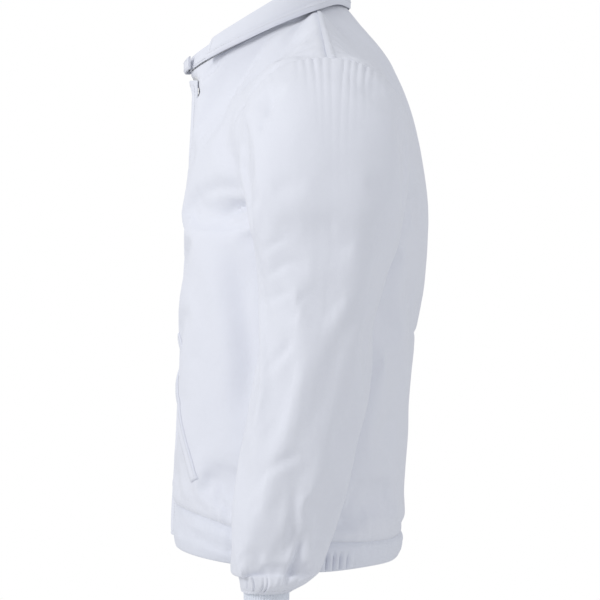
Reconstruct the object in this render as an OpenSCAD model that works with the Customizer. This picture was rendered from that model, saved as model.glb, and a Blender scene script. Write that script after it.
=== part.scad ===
// Padded blouson jacket on an upright wearer: front faces -Y, the wearer's left is +X, up is +Z.
// The origin is the centre of the neck seam. Lengths are millimetres.

/* [Body] */
// Half of the chest width, at the foot of the armhole
chest_half_w = 224; // [205:1:226]
// Height of the foot of the armhole
armhole_foot_z = -245; // [-260:1:-235]
// Height of the seam between body and waistband, at the centre front
band_seam_z = -543; // [-560:1:-530]
// Height of the waistband
band_h = 42; // [34:1:50]
// Thickness of the padded waistband
band_t = 7; // [5:0.5:9]

/* [Cloth] */
// Thickness of the outer cloth
shell_t = 1.6; // [1.2:0.1:2]
// Thickness of the wadding
wadding_t = 4.5; // [3:0.5:6]
// Thickness of the lining
lining_t = 1.2; // [0.8:0.1:1.6]
// Gap between two layers or two neighbouring pieces
layer_gap = 0.4; // [0.3:0.05:0.5]

/* [Neck and collar] */
// Half of the neck seam's width
neck_rx = 75; // [70:1:80]
// Half of the neck seam's depth, seen from above
neck_ry = 90; // [86:1:94]
// Height of the collar at its front ends
collar_front_h = 17; // [14:1:22]
// Height of the collar at the nape
collar_back_h = 38; // [34:1:42]

/* [Sleeve] */
// Half of the armhole's width, front to back
armhole_ry = 90; // [84:1:94]
// Half of the armhole's height
armhole_rz = 97; // [92:1:100]
// Height at which the gathered sleeve end closes on the cuff
sleeve_end_z = -612; // [-618:1:-606]
// Lower edge of the knitted cuff
cuff_low_z = -677; // [-690:1:-660]
// Half of the cuff's width, front to back
cuff_ry = 24.5; // [22:0.5:25]
// Half of the cuff's width, side to side
cuff_rx = 34; // [30:0.5:34]

/* [Front closure] */
// Length of the zip
zip_l = 520; // [500:1:524]
// Free width of the zip's chain, half
chain_half_w = 3; // [2.5:0.1:3.2]
// Width of the storm flap
flap_w = 60; // [54:1:62]
// Number of press studs under the storm flap
flap_studs = 5; // [3:1:6]
// Radius of the press studs' posts
stud_r = 1.9; // [1.6:0.1:2.1]

/* [Pockets] */
// Width of the slanted pocket welts
welt_w = 14; // [10:1:18]
// Length of the pocket mouth
welt_l = 176; // [160:1:180]

/* [Hidden] */
$fn = 48;

shell_color = [0.93, 0.94, 0.97];
lining_color = [0.95, 0.95, 0.96];
wadding_color = [0.98, 0.98, 0.98];
knit_color = [0.88, 0.91, 0.96];
metal_color = [0.45, 0.45, 0.44];
tape_color = [0.96, 0.96, 0.97];

// Where each layer starts, counted inwards from the outer face of the cloth
wadding_in = shell_t + layer_gap;
lining_in = wadding_in + wadding_t + layer_gap;
pocket_in = lining_in + lining_t + 3.5;
pocket_t = 1.6;

// Rows of the body panels: 0 at the waistband, 1 at the foot of the armhole, 2 at the shoulder and neck
body_rows = [0, 0.2, 0.4, 0.6, 0.8, 1, 1.18, 1.35, 1.51, 1.66, 1.79, 1.893, 2];
// Columns: 0 at the centre, 1 at the side seam and armhole; the neck seam ends at the corner column
front_corner = 0.5;
back_corner = 0.25;
front_cols = [0, 0.065, 0.11, 0.17, 0.26, 0.38, front_corner, 0.65, 0.82, 1];
back_cols = [0, 0.125, back_corner, 0.375, 0.5, 0.625, 0.75, 0.875, 1];

// Centre front and centre back outlines of the padded body: height, depth
front_line = [[-650, -109], [-545, -110], [-427, -110], [-320, -107], [-230, -101],
              [-170, -97], [-97, -88], [-44, -92]];
back_line = [[-650, 148], [-545, 157], [-427, 165], [-355, 172], [-260, 187],
             [-190, 187], [-110, 176], [-32, 148], [10, 116], [42, 88]];
// Half width of the body, and depth of its side seam: height, value
width_line = [[-650, -22], [-590, -18], [-545, -9], [-450, -3], [-245, 0], [100, 0]];
side_line = [[-545, 45], [-245, 65]];
band_drop = 0.078;          // fall of the hem per millimetre towards the back
band_valley = 4;            // how far the waistband swells in front of the zip, beside the storm flap
body_round = 0.86;          // below 1 makes the body's cross-section squarer than an ellipse
hole_round = 0.88;          // the same for the armhole

neck_y = -2;                // centre of the neck seam
neck_tilt = 0.472;          // rise of the neck seam per millimetre towards the back
shoulder_phi = 48.2;        // where the shoulder seam meets the neck seam, from the nape
armhole_y = 65;
armhole_z = armhole_foot_z + armhole_rz;
shoulder_y = armhole_y + 4; // the shoulder seam's outer end

zip_top = [0, -79.5, -62];
zip_tilt = 2.8;             // lean of the straight zip from the vertical, degrees
edge_x = 9;                 // where the front panels stop beside the zip
valley_from = 30;           // the fronts lie flat beside the zip as far as this, then swell
valley_to = 78;

function mix(a, b, t) = a + (b - a) * t;
function ease(t) = let (c = min(max(t, 0), 1)) c * c * (3 - 2 * c);
function unit(v) = v / norm(v);
function spow(v, e) = sign(v) * pow(abs(v), e);

// ---- surfaces -----------------------------------------------------------------------------

function half_width(z) = chest_half_w + lookup(z, width_line);
function zip_y(z) = zip_top.y + (z - zip_top.z) * tan(zip_tilt);
function neck_z(y) = neck_tilt * (y - neck_y);
// A point on the neck seam: phi runs from 0 at the nape to 180 at the throat
function neck_point(phi, out = 0, up = 0) =
    let (y = neck_y + (neck_ry + out) * cos(phi), seam_y = neck_y + neck_ry * cos(phi))
    [(neck_rx + out) * sin(phi), y, neck_z(seam_y) + up];
// A point on the armhole: way is -1 along its front and 1 along its back, a runs from -90 to 90
function hole_point(a, way) =
    [chest_half_w, armhole_y + way * armhole_ry * pow(max(cos(a), 0), hole_round)
        + (shoulder_y - armhole_y) * ease((a - 20) / 70),
     armhole_z + armhole_rz * spow(sin(a), hole_round)];
shoulder_tip = hole_point(90, 1);

// Direction from the outer face of the cloth to its inside, the same for every piece that meets there
function inward(p) =
    let (rise = 0.0135 * ease((p.z + 190) / 160))
    unit([-p.x / pow(220, 2), -(p.y - 42) / pow(135, 2), -rise]);
function inside(p, depth) = p + inward(p) * depth;

// One level row of the body, u from 0 at the centre to 1 at the side seam or armhole
function row_point(inner, outer, u, turn) =
    let (a = 90 * u * turn, sx = pow(sin(a) / sin(90 * turn), body_round),
         cy = turn > 0.999 ? pow(max(cos(a), 0), body_round)
                           : (cos(a) - cos(90 * turn)) / (1 - cos(90 * turn)))
    [mix(inner.x, outer.x, sx), mix(outer.y, inner.y, cy), mix(inner.z, outer.z, sx)];

// The upper edge of half a front or back: along the neck seam, then along the shoulder seam
function top_edge(u, corner_u, phi_start) = u <= corner_u
    ? neck_point(mix(phi_start, shoulder_phi, u / corner_u))
    : mix(neck_point(shoulder_phi), shoulder_tip, (u - corner_u) / (1 - corner_u));

// Half a front (way -1) or half a back (way 1), at row t and column u
function body_point(t, u, way) =
    let (centre_line = way < 0 ? front_line : back_line,
         corner_u = way < 0 ? front_corner : back_corner,
         phi_start = way < 0 ? 180 : 0,
         top_z = neck_z(neck_y + way * neck_ry),
         s = max(0, t - 1),
         foot_z = mix(band_seam_z, armhole_foot_z, min(t, 1)),
         side_y = lookup(foot_z, side_line),
         centre_z = s > 0 ? mix(armhole_foot_z, top_z, s) : foot_z,
         inner = [0, lookup(centre_z, centre_line), centre_z],
         outer = s > 0 ? hole_point(mix(-90, 90, s), way) : [half_width(foot_z), side_y, foot_z],
         turn = 1 - 0.38 * ease(s * 1.6),
         flat = row_point(inner, outer, u, turn),
         last = row_point([0, lookup(top_z, centre_line), top_z], shoulder_tip, u, 0.62),
         lift = (top_edge(u, corner_u, phi_start) - last) * s * s,
         sink = -band_drop * (flat.y + 100) * (1 - ease(t * 1.5)))
    flat + lift + [0, 0, sink];

// The fronts turn in beside the zip, so that the storm flap lies in a shallow valley
function front_point(t, u) =
    let (p = body_point(t, u, -1),
         line_y = zip_y(p.z),
         swell = ease((p.x - valley_from) / (valley_to - valley_from)),
         hold = ease((zip_top.z + 26 - p.z) / 30),
         x = max(p.x, edge_x))
    [x, mix(p.y, line_y, (1 - swell) * hold), p.z];

function front_grid(depth) =
    [for (t = body_rows) [for (u = front_cols) inside(front_point(t, u), depth)]];
function back_half(t, depth) = [for (u = back_cols) inside(body_point(t, u, 1), depth)];
function mirrored(line) = [for (i = [len(line) - 1:-1:1]) [-line[i].x, line[i].y, line[i].z]];
function back_grid(depth) =
    [for (t = body_rows) let (half = back_half(t, depth)) concat(mirrored(half), half)];

// A point of the hem ring: a runs from 0 at the centre front to 180 at the centre back, drop below the seam
function hem_point(a, drop, out) =
    let (front = a <= 90, c = cos(a),
         z0 = band_seam_z - drop,
         x = (half_width(z0) + out) * pow(abs(sin(a)), body_round),
         side_y = lookup(z0, side_line),
         swell = ease((x - valley_from) / (valley_to - valley_from)),
         reach = front ? side_y - zip_y(z0) + (band_valley + out) * swell
                       : lookup(z0, back_line) - side_y + out,
         y = side_y - spow(c, body_round) * reach)
    [x, y, z0 - band_drop * (y + 100)];

// ---- solids from grids --------------------------------------------------------------------

// Two triangles for each cell of a strip between two lines of point numbers
function strip(a, b) =
    [for (i = [0:len(a) - 2]) each [[a[i], a[i + 1], b[i + 1]], [a[i], b[i + 1], b[i]]]];
function flipped(faces) = [for (f = faces) [f[2], f[1], f[0]]];
function flat_list(grid) = [for (line = grid) each line];

// A closed slab between an outer and an inner grid of points
module slab(outer, inner) {
    m = len(outer);
    n = len(outer[0]);
    top = [for (i = [0:m - 1]) [for (j = [0:n - 1]) i * n + j]];
    low = [for (i = [0:m - 1]) [for (j = [0:n - 1]) (m + i) * n + j]];
    left = [for (i = [0:m - 1]) i * n];
    right = [for (i = [0:m - 1]) i * n + n - 1];
    shift = m * n;
    faces = concat(
        [for (i = [0:m - 2]) each strip(top[i + 1], top[i])],
        [for (i = [0:m - 2]) each flipped(strip(low[i + 1], low[i]))],
        strip(top[0], low[0]),
        strip(low[m - 1], top[m - 1]),
        strip([for (v = left) v + shift], left),
        strip(right, [for (v = right) v + shift]));
    polyhedron(concat(flat_list(outer), flat_list(inner)), faces);
}

// A closed tube wall between outer and inner rings, open at both ends
module tube_wall(outer, inner) {
    m = len(outer);
    n = len(outer[0]);
    ring = [for (j = [0:n]) j % n];
    shift = m * n;
    faces = concat(
        [for (i = [0:m - 2]) each strip([for (j = ring) (i + 1) * n + j], [for (j = ring) i * n + j])],
        [for (i = [0:m - 2]) each flipped(strip([for (j = ring) shift + (i + 1) * n + j],
                                                [for (j = ring) shift + i * n + j]))],
        strip(ring, [for (j = ring) shift + j]),
        strip([for (j = ring) shift + (m - 1) * n + j], [for (j = ring) (m - 1) * n + j]));
    polyhedron(concat(flat_list(outer), flat_list(inner)), faces);
}

module both_hands(right) {
    if (right) mirror([1, 0, 0]) children();
    else children();
}

// ---- body ---------------------------------------------------------------------------------

module front_layer(right, depth, thick) {
    both_hands(right) slab(front_grid(depth), front_grid(depth + thick));
}

module back_layer(depth, thick) {
    slab(back_grid(depth + thick), back_grid(depth));
}

module back_panel() { color(shell_color) back_layer(0, shell_t); }
module front_panel_left() { color(shell_color) front_layer(false, 0, shell_t); }
module front_panel_right() { color(shell_color) front_layer(true, 0, shell_t); }
module back_wadding() { color(wadding_color) back_layer(wadding_in, wadding_t); }
module front_wadding_left() { color(wadding_color) front_layer(false, wadding_in, wadding_t); }
module front_wadding_right() { color(wadding_color) front_layer(true, wadding_in, wadding_t); }
module back_lining() { color(lining_color) back_layer(lining_in, lining_t); }
module front_lining_left() { color(lining_color) front_layer(false, lining_in, lining_t); }
module front_lining_right() { color(lining_color) front_layer(true, lining_in, lining_t); }

// ---- sleeves ------------------------------------------------------------------------------

sleeve_x = chest_half_w + 1.5;
ring_points = 16;
// Sleeve rings: x and z of the inner edge, lean from the vertical, width outwards, centre y, half depth
fan_rings = [for (a = [0:18:90])
    [sleeve_x, armhole_foot_z, a, mix(2 * armhole_rz, 130, pow(a / 90, 0.9)),
     armhole_y + 2 * a / 90, mix(armhole_ry, 76, a / 90)]];
arm_rings = [[sleeve_x + 2, -309, 90, 124, 62, 62.5], [sleeve_x + 2, -415, 90, 119, 46, 60],
             [sleeve_x + 3, -522, 90, 113, 26, 55.5]];
end_rings = [[sleeve_x + 9, -585, 90, 98, 12, 45],
             [sleeve_x + 25, sleeve_end_z, 90, 2 * (cuff_rx + shell_t + layer_gap), 4,
              cuff_ry + shell_t + layer_gap]];

function sleeve_ring(r, depth) =
    [for (k = [0:ring_points - 1])
        let (a = 360 * k / ring_points, width = r[3] - 2 * depth,
             v = depth + width * (1 + spow(sin(a), hole_round)) / 2,
             y = r[4] - (r[5] - depth) * spow(cos(a), hole_round))
        [r[0] + v * sin(r[2]), y, r[1] + v * cos(r[2])]];

module sleeve_layer(right, rings, depth, thick) {
    both_hands(right) tube_wall([for (r = rings) sleeve_ring(r, depth + thick)],
                                [for (r = rings) sleeve_ring(r, depth)]);
}

layer_rings = concat(fan_rings, arm_rings, [end_rings[0]]);
module sleeve(right) {
    color(shell_color) sleeve_layer(right, concat(layer_rings, [end_rings[1]]), 0, shell_t);
}
module sleeve_wadding(right) {
    color(wadding_color) sleeve_layer(right, layer_rings, wadding_in, wadding_t);
}
module sleeve_lining(right) {
    color(lining_color) sleeve_layer(right, layer_rings, lining_in, lining_t);
}

// Ribbed cuff, folded double, tucked into the gathered sleeve end
cuff_t = 3.2;
module knit_cuff(right) {
    cuff_y = end_rings[1][4];
    cuff_x = end_rings[1][0] + end_rings[1][3] / 2;
    levels = [[sleeve_end_z + 8, 0], [mix(sleeve_end_z, cuff_low_z, 0.5), 0.8], [cuff_low_z, 0]];
    function level_ring(level, depth) =
        [for (k = [0:19]) let (a = 18 * k, narrow = depth + level[1])
            [cuff_x - (cuff_rx - narrow) * cos(a), cuff_y - (cuff_ry - narrow) * sin(a), level[0]]];
    color(knit_color) both_hands(right)
        tube_wall([for (l = levels) level_ring(l, 0)], [for (l = levels) level_ring(l, cuff_t)]);
}

module sleeve_left() { sleeve(false); }
module sleeve_right() { sleeve(true); }
module sleeve_wadding_left() { sleeve_wadding(false); }
module sleeve_wadding_right() { sleeve_wadding(true); }
module sleeve_lining_left() { sleeve_lining(false); }
module sleeve_lining_right() { sleeve_lining(true); }
module knit_cuff_left() { knit_cuff(false); }
module knit_cuff_right() { knit_cuff(true); }

// ---- waistband ----------------------------------------------------------------------------

side_from = 72;    // the elasticated side section, degrees round the hem from the centre front
side_to = 116;
front_from = 2.6;
band_out = 1.5;
seam_step = 0.25;  // half the gap between two neighbouring band sections, degrees
band_levels = [layer_gap, band_h / 3, 2 * band_h / 3, band_h];
function band_swell(drop) = band_out + 2.2 * sin(180 * drop / band_h);
function band_grid(angles, depth) =
    [for (drop = band_levels) [for (a = angles) hem_point(a, drop, band_swell(drop) - depth)]];

module band_front(right) {
    angles = [for (k = [0:7]) mix(front_from, side_from - seam_step, k / 7)];
    color(shell_color) both_hands(right) slab(band_grid(angles, band_t), band_grid(angles, 0));
}
module waistband_front_left() { band_front(false); }
module waistband_front_right() { band_front(true); }
module waistband_back() {
    half = [for (k = [0:8]) mix(180, side_to + seam_step, k / 8)];
    function whole(grid) = [for (line = grid) concat(mirrored(line), line)];
    color(shell_color) slab(whole(band_grid(half, band_t)), whole(band_grid(half, 0)));
}

// Hollow casing of a side section, with the elastic strip inside it
casing_t = 1.4;
module waistband_side(right) {
    angles = [for (k = [0:5]) mix(side_from + seam_step, side_to - seam_step, k / 5)];
    function section(a, inset) =
        [for (c = [[0, 0], [1, 0], [1, 1], [0, 1]])
            let (drop = mix(layer_gap + inset, band_h - inset, c[1]))
            hem_point(a, drop, band_out - mix(inset, band_t - inset, c[0]))];
    color(shell_color) both_hands(right)
        tube_wall([for (a = angles) section(a, casing_t)], [for (a = angles) section(a, 0)]);
}
module side_elastic(right) {
    angles = [for (k = [0:5]) mix(side_from + 1, side_to - 1, k / 5)];
    function line(drop, depth) = [for (a = angles) hem_point(a, drop, band_out - depth)];
    color(tape_color) both_hands(right)
        slab([line(5, 4.3), line(band_h - 5, 4.3)], [line(5, 2.7), line(band_h - 5, 2.7)]);
}
module waistband_side_left() { waistband_side(false); }
module waistband_side_right() { waistband_side(true); }
module side_elastic_left() { side_elastic(false); }
module side_elastic_right() { side_elastic(true); }

// ---- collar -------------------------------------------------------------------------------

stand_end = 170;   // the stand's ends, degrees from the nape
fall_end = 132;
ply_t = 1;
stand_lean = 2;
function collar_h(phi) = mix(collar_front_h, collar_back_h, (1 + cos(phi)) / 2);
stand_phis = [for (k = [-12:12]) stand_end * k / 12];
function stand_line(part, depth) =
    [for (phi = stand_phis) neck_point(phi, -stand_lean * part - depth, mix(0.8, collar_h(phi), part))];
module stand_ply(depth) {
    slab([stand_line(1, depth), stand_line(0, depth)],
         [stand_line(1, depth + ply_t), stand_line(0, depth + ply_t)]);
}
module collar_stand() { color(shell_color) stand_ply(0); }
module collar_interfacing() { color(wadding_color) stand_ply(ply_t + 0.2); }
module collar_stand_lining() { color(shell_color) stand_ply(2 * (ply_t + 0.2)); }

// The turned-down part: over the stand's top edge and out to the lower edge. out, share of the height, rise
fall_outer = [[-5.6, 1, 3], [-0.6, 1, 3.2], [3.4, 0.92, 0], [7.6, 0.45, 0], [10.6, 0, -2.2]];
fall_inner = [[-5.6, 1, 0.5], [0, 1, 0.5], [1.3, 0.86, 0], [5, 0.45, -0.2], [8, 0, -2.4]];
fall_phis = [for (k = [-10:10]) fall_end * k / 10];
function fall_grid(profile) =
    [for (p = profile) [for (phi = fall_phis)
        neck_point(phi, p[0], collar_h(phi) * p[1] + p[2] * (p[1] > 0 ? 1 : fall_drape(phi)))]];
// The lower edge rests on the shoulder at the sides and hangs lower at the front and the nape
function fall_drape(phi) = 0.7 + 2.2 * ease((abs(phi) - 72) / 35) + 2.2 * ease((38 - abs(phi)) / 30);
module collar_fall() { color(shell_color) slab(fall_grid(fall_outer), fall_grid(fall_inner)); }

// Tab at the throat, sewn to the left end of the stand and fastened to the right end by a stud
tab_from = 158;
tab_to = 201;
tab_out = 3.2;
tab_t = 2;
stud_phi = 194.5;
tab_mid_up = 8;
module collar_tab() {
    phis = [for (k = [0:6]) mix(tab_from, tab_to, k / 6)];
    function line(share, out) =
        [for (i = [0:6]) neck_point(phis[i], out, tab_mid_up + share * (i == 6 ? 4.5 : 6.5))];
    color(shell_color) slab([line(1, tab_out + tab_t), line(-1, tab_out + tab_t)],
                            [line(1, tab_out), line(-1, tab_out)]);
}
// Frame on the tab's line: +Z points out of the collar
module at_tab_stud(out) {
    p = neck_point(stud_phi, out, tab_mid_up);
    slope = atan2(p.x / pow(neck_rx, 2), (p.y - neck_y) / pow(neck_ry, 2));
    translate(p) rotate([90, 0, 180 - slope]) children();
}
stud_cap_r = 6;
socket_r = 4.3;        // the stud's socket, and the flange under its post
flange_r = 4.6;
module collar_stud_cap() {
    color(metal_color) {
        at_tab_stud(tab_out + tab_t + 0.5) {
            cylinder(h = 1, r = stud_cap_r);
            translate([0, 0, 1]) cylinder(h = 0.8, r1 = stud_cap_r, r2 = stud_cap_r - 1.6);
        }
        at_tab_stud(tab_out - 1) difference() {
            cylinder(h = 0.7, r = socket_r);
            translate([0, 0, -1]) cylinder(h = 3, r = stud_r + 0.4);
        }
    }
}
module collar_stud_post() {
    color(metal_color) at_tab_stud(0.5) {
        cylinder(h = 0.6, r = flange_r);
        cylinder(h = 2.1, r = stud_r);
    }
}

// ---- front closure ------------------------------------------------------------------------

// Frame on the zip: origin at its top end, -Z down along the chain, -Y forwards
module at_zip() { translate(zip_top) rotate([-zip_tilt, 0, 0]) children(); }
module slip(x0, x1, y0, y1, z0, z1) {
    translate([min(x0, x1), y0, z0]) cube([abs(x1 - x0), y1 - y0, z1 - z0]);
}
chain_t = 1.5;         // half the thickness of the chain
chain_gap = 0.6;       // half the gap in which the slider's bridge runs
tape_t = 0.3;          // half the thickness of the tape
slider_l = 13;
slider_half_w = 5.4;
play = 0.3;
plate_t = 1.1;
pull_pin_r = 1;
pull_l = 22;
pull_t = 1.1;
pull_eye_r = 2.6;
pull_half_w = 2;

module tape(side) {
    color(tape_color) at_zip()
        slip(side * (chain_half_w + 0.1), side * (edge_x - layer_gap), -tape_t, tape_t, -zip_l, 0);
}
module teeth(side) {
    color(tape_color) at_zip()
        slip(side * chain_gap, side * chain_half_w, -chain_t, chain_t, -zip_l + 9, -8);
}
module zip_tape_left() { tape(1); }
module zip_tape_right() { tape(-1); }
module zip_teeth_left() { teeth(1); }
module zip_teeth_right() { teeth(-1); }
module zip_stops() {
    color(metal_color) at_zip() {
        for (side = [-1, 1]) slip(side * chain_gap, side * chain_half_w, -chain_t, chain_t, -7.6, -4.6);
        slip(-chain_half_w, chain_half_w, -chain_t - 0.4, chain_t + 0.4, -zip_l, -zip_l + 8.6);
    }
}
slider_top = -8.2;
module zip_slider() {
    low = slider_top - slider_l;
    inner = chain_t + play;
    color(metal_color) at_zip() {
        for (s = [0, 1]) mirror([0, s, 0])
            difference() {
                slip(-slider_half_w, slider_half_w, tape_t + play, inner + plate_t, low, slider_top);
                slip(-chain_half_w - play, chain_half_w + play, 0, inner, low - 1, slider_top + 1);
            }
        slip(-0.35, 0.35, -inner - 0.1, inner + 0.1, low + 2, slider_top - 2);
        translate([0, -inner - plate_t, slider_top - 5]) rotate([90, 0, 0])
            cylinder(h = 1.5, r = pull_pin_r);
    }
}
module zip_pull() {
    face = chain_t + play + plate_t;
    color(metal_color) at_zip() translate([0, -face - 0.2, slider_top - 5]) rotate([90, 0, 0])
        difference() {
            union() {
                cylinder(h = pull_t, r = pull_eye_r);
                translate([-pull_half_w, -pull_l, 0]) cube([2 * pull_half_w, pull_l, pull_t]);
                translate([0, -pull_l, 0]) cylinder(h = pull_t, r = pull_eye_r);
            }
            translate([0, 0, -1]) cylinder(h = 4, r = pull_pin_r + 0.06);
        }
}
// Strip behind the zip that keeps draughts out
guard_half_w = 22;
guard_in = lining_in + lining_t + 1.2;
module zip_guard() {
    color(lining_color) at_zip()
        slip(-guard_half_w, guard_half_w, guard_in, guard_in + lining_t, -zip_l + 6, -14);
}

flap_edge_x = 32;      // the sewn edge, on the wearer's left
flap_back = 4.9;       // the flap's inner face, in front of the zip's middle
flap_t = 2;
flap_top = -5;
module storm_flap() {
    color(shell_color) at_zip()
        slip(flap_edge_x - flap_w, flap_edge_x, -flap_back - flap_t, -flap_back, -zip_l - 2, flap_top);
}
socket_x = flap_edge_x - flap_w + 8;
module at_flap_studs() {
    for (k = [0:flap_studs - 1])
        at_zip() translate([socket_x, 0, mix(-26, -zip_l + 44, k / (flap_studs - 1))])
            rotate([90, 0, 0]) children();
}
module flap_stud_sockets() {
    color(metal_color) at_flap_studs() translate([0, 0, flap_back - 1.4])
        difference() {
            cylinder(h = 1.2, r = socket_r);
            translate([0, 0, -1]) cylinder(h = 4, r = stud_r + 0.25);
        }
}
module flap_stud_posts() {
    color(metal_color) at_flap_studs() {
        translate([0, 0, 0.5]) cylinder(h = 0.8, r = flange_r);
        translate([0, 0, 0.5]) cylinder(h = flap_back - 1, r = stud_r);
    }
}

// ---- pockets ------------------------------------------------------------------------------

// The pocket mouth runs down the front from near the zip to near the side: rows and columns of the body grid
pocket_top = [70, -349];   // x, z
pocket_low = [160, -512];
// The front's surface found by its x and z, by halving
function front_u(x, t, lo = 0, hi = 1, n = 12) =
    let (mid = (lo + hi) / 2)
    n == 0 ? mid : front_point(t, mid).x < x ? front_u(x, t, mid, hi, n - 1) : front_u(x, t, lo, mid, n - 1);
function front_at(x, z, depth) =
    let (t = (z - band_seam_z) / (armhole_foot_z - band_seam_z))
    inside(front_point(t, front_u(x, t)), depth);
function along_mouth(s, w) =
    let (d = unit(pocket_low - pocket_top)) pocket_top + d * s + [-d[1], d[0]] * w;
welt_t = 1.6;
module pocket_welt(right) {
    function grid(depth) = [for (w = [-welt_w / 2, 0, welt_w / 2])
        [for (k = [0:8]) let (q = along_mouth(k / 8 * welt_l, w)) front_at(q[0], q[1], depth)]];
    color(shell_color) both_hands(right) slab(grid(-layer_gap), grid(-layer_gap - welt_t));
}
module pocket_bag(right) {
    function grid(depth) = [for (w = [-95, -60, -25, 10])
        [for (k = [0:6]) let (q = along_mouth(k / 6 * (welt_l - 8) + 4, w * (w < 0 ? 1 : 0.8)))
            front_at(max(q[0], 24), max(q[1], band_seam_z + 6), depth)]];
    color(lining_color) both_hands(right) slab(grid(pocket_in), grid(pocket_in + pocket_t));
}
module pocket_welt_left() { pocket_welt(false); }
module pocket_welt_right() { pocket_welt(true); }
module pocket_bag_left() { pocket_bag(false); }
module pocket_bag_right() { pocket_bag(true); }

// ---- inside the neck ----------------------------------------------------------------------

loop_r = 24;
loop_w = 5;
loop_t = 1.4;
loop_at = [0, 78, 36];
module hanger_loop() {
    color(tape_color) translate(loop_at) rotate([90, 0, 0]) translate([0, 0, -loop_t / 2])
        rotate([0, 0, 180]) rotate_extrude(angle = 180)
            translate([loop_r - loop_w, 0]) square([loop_w, loop_t]);
}
module neck_label() {
    color(tape_color) translate([-14, loop_at.y + 3, loop_at.z - 26]) cube([28, 0.6, 28]);
}

back_panel();
front_panel_left();
front_panel_right();
back_wadding();
front_wadding_left();
front_wadding_right();
back_lining();
front_lining_left();
front_lining_right();
sleeve_left();
sleeve_right();
sleeve_wadding_left();
sleeve_wadding_right();
sleeve_lining_left();
sleeve_lining_right();
knit_cuff_left();
knit_cuff_right();
waistband_front_left();
waistband_front_right();
waistband_back();
waistband_side_left();
waistband_side_right();
side_elastic_left();
side_elastic_right();
collar_stand();
collar_interfacing();
collar_stand_lining();
collar_fall();
collar_tab();
collar_stud_cap();
collar_stud_post();
zip_tape_left();
zip_tape_right();
zip_teeth_left();
zip_teeth_right();
zip_stops();
zip_slider();
zip_pull();
zip_guard();
storm_flap();
flap_stud_sockets();
flap_stud_posts();
pocket_welt_left();
pocket_welt_right();
pocket_bag_left();
pocket_bag_right();
hanger_loop();
neck_label();
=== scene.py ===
import bpy
import bmesh
import numpy as np
from math import radians, pi
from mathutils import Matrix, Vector


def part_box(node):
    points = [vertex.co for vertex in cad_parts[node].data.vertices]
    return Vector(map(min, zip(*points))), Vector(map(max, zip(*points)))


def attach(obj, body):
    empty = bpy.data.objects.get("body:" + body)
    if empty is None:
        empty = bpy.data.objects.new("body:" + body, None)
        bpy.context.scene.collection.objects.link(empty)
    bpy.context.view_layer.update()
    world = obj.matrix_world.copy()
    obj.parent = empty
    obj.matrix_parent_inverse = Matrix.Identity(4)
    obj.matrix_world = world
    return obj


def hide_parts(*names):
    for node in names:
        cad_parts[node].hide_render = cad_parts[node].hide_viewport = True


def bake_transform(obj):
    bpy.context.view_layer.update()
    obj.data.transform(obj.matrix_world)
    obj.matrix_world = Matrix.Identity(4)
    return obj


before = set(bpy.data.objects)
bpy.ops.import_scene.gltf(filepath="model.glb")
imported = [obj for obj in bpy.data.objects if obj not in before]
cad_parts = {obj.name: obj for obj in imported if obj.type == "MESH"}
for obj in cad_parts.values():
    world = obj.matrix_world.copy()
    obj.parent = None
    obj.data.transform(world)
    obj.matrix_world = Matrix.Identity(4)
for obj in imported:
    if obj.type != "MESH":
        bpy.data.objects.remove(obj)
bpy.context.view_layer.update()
mm = 0.001
hands = ((1, "left"), (-1, "right"))  # the side of the frame and the wearer's hand on it
print("frame loaded:", len(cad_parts), "parts")

# camera, lights, floor

studio = {
    "cameraAt": (2.5, 0.039, -0.309), "lens": 127.1,
    "floorZ": -1.1, "floorRadius": 2.4,
    "worldGlow": 0.62, "worldTint": (0.95, 0.968, 1.0),
    # place, size, power, colour
    "frontSoftbox": ((1.55, -2.15, 1.0), 1.3, 33.5, (1.0, 1.0, 1.0)),
    "backSoftbox": ((0.9, 2.5, 0.5), 1.4, 9, (0.97, 0.985, 1.0)),
    "topSoftbox": ((0.0, -0.9, 2.2), 1.3, 4, (1.0, 1.0, 1.0)),
}


def aimAt(thing, target):
    thing.rotation_mode = "QUATERNION"
    thing.rotation_quaternion = (Vector(target) - thing.location).to_track_quat("-Z", "Y")


def addSoftbox(name, place, size, power, colour):
    lamp = bpy.data.lights.new(name, "AREA")
    lamp.shape, lamp.size, lamp.energy, lamp.color = "DISK", size, power, colour
    lampObject = bpy.data.objects.new(name, lamp)
    lampObject.location = place
    bpy.context.scene.collection.objects.link(lampObject)
    aimAt(lampObject, (0.05, 0.04, -0.3))


def makeStudio():
    scene = bpy.context.scene
    scene.view_settings.view_transform = "Standard"
    camera = bpy.data.objects.new("camera", bpy.data.cameras.new("camera"))
    scene.collection.objects.link(camera)
    camera.location = studio["cameraAt"]
    camera.data.lens, camera.data.sensor_width = studio["lens"], 36
    camera.data.clip_end = 50
    aimAt(camera, (0, studio["cameraAt"][1], studio["cameraAt"][2]))
    scene.camera = camera
    for name in ("frontSoftbox", "backSoftbox", "topSoftbox"):
        addSoftbox(name, *studio[name])

    world = bpy.data.worlds.new("paper_room")
    scene.world = world
    world.use_nodes = True
    tree = world.node_tree
    glow = tree.nodes["Background"]
    glow.inputs["Color"].default_value = (*studio["worldTint"], 1)
    glow.inputs["Strength"].default_value = studio["worldGlow"]
    backdrop = tree.nodes.new("ShaderNodeBackground")  # plain white behind the jacket
    backdrop.inputs["Color"].default_value = (1, 1, 1, 1)
    rays = tree.nodes.new("ShaderNodeLightPath")
    either = tree.nodes.new("ShaderNodeMixShader")
    tree.links.new(rays.outputs["Is Camera Ray"], either.inputs[0])
    tree.links.new(glow.outputs[0], either.inputs[1])
    tree.links.new(backdrop.outputs[0], either.inputs[2])
    tree.links.new(either.outputs[0], tree.nodes["World Output"].inputs["Surface"])


# materials

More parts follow.
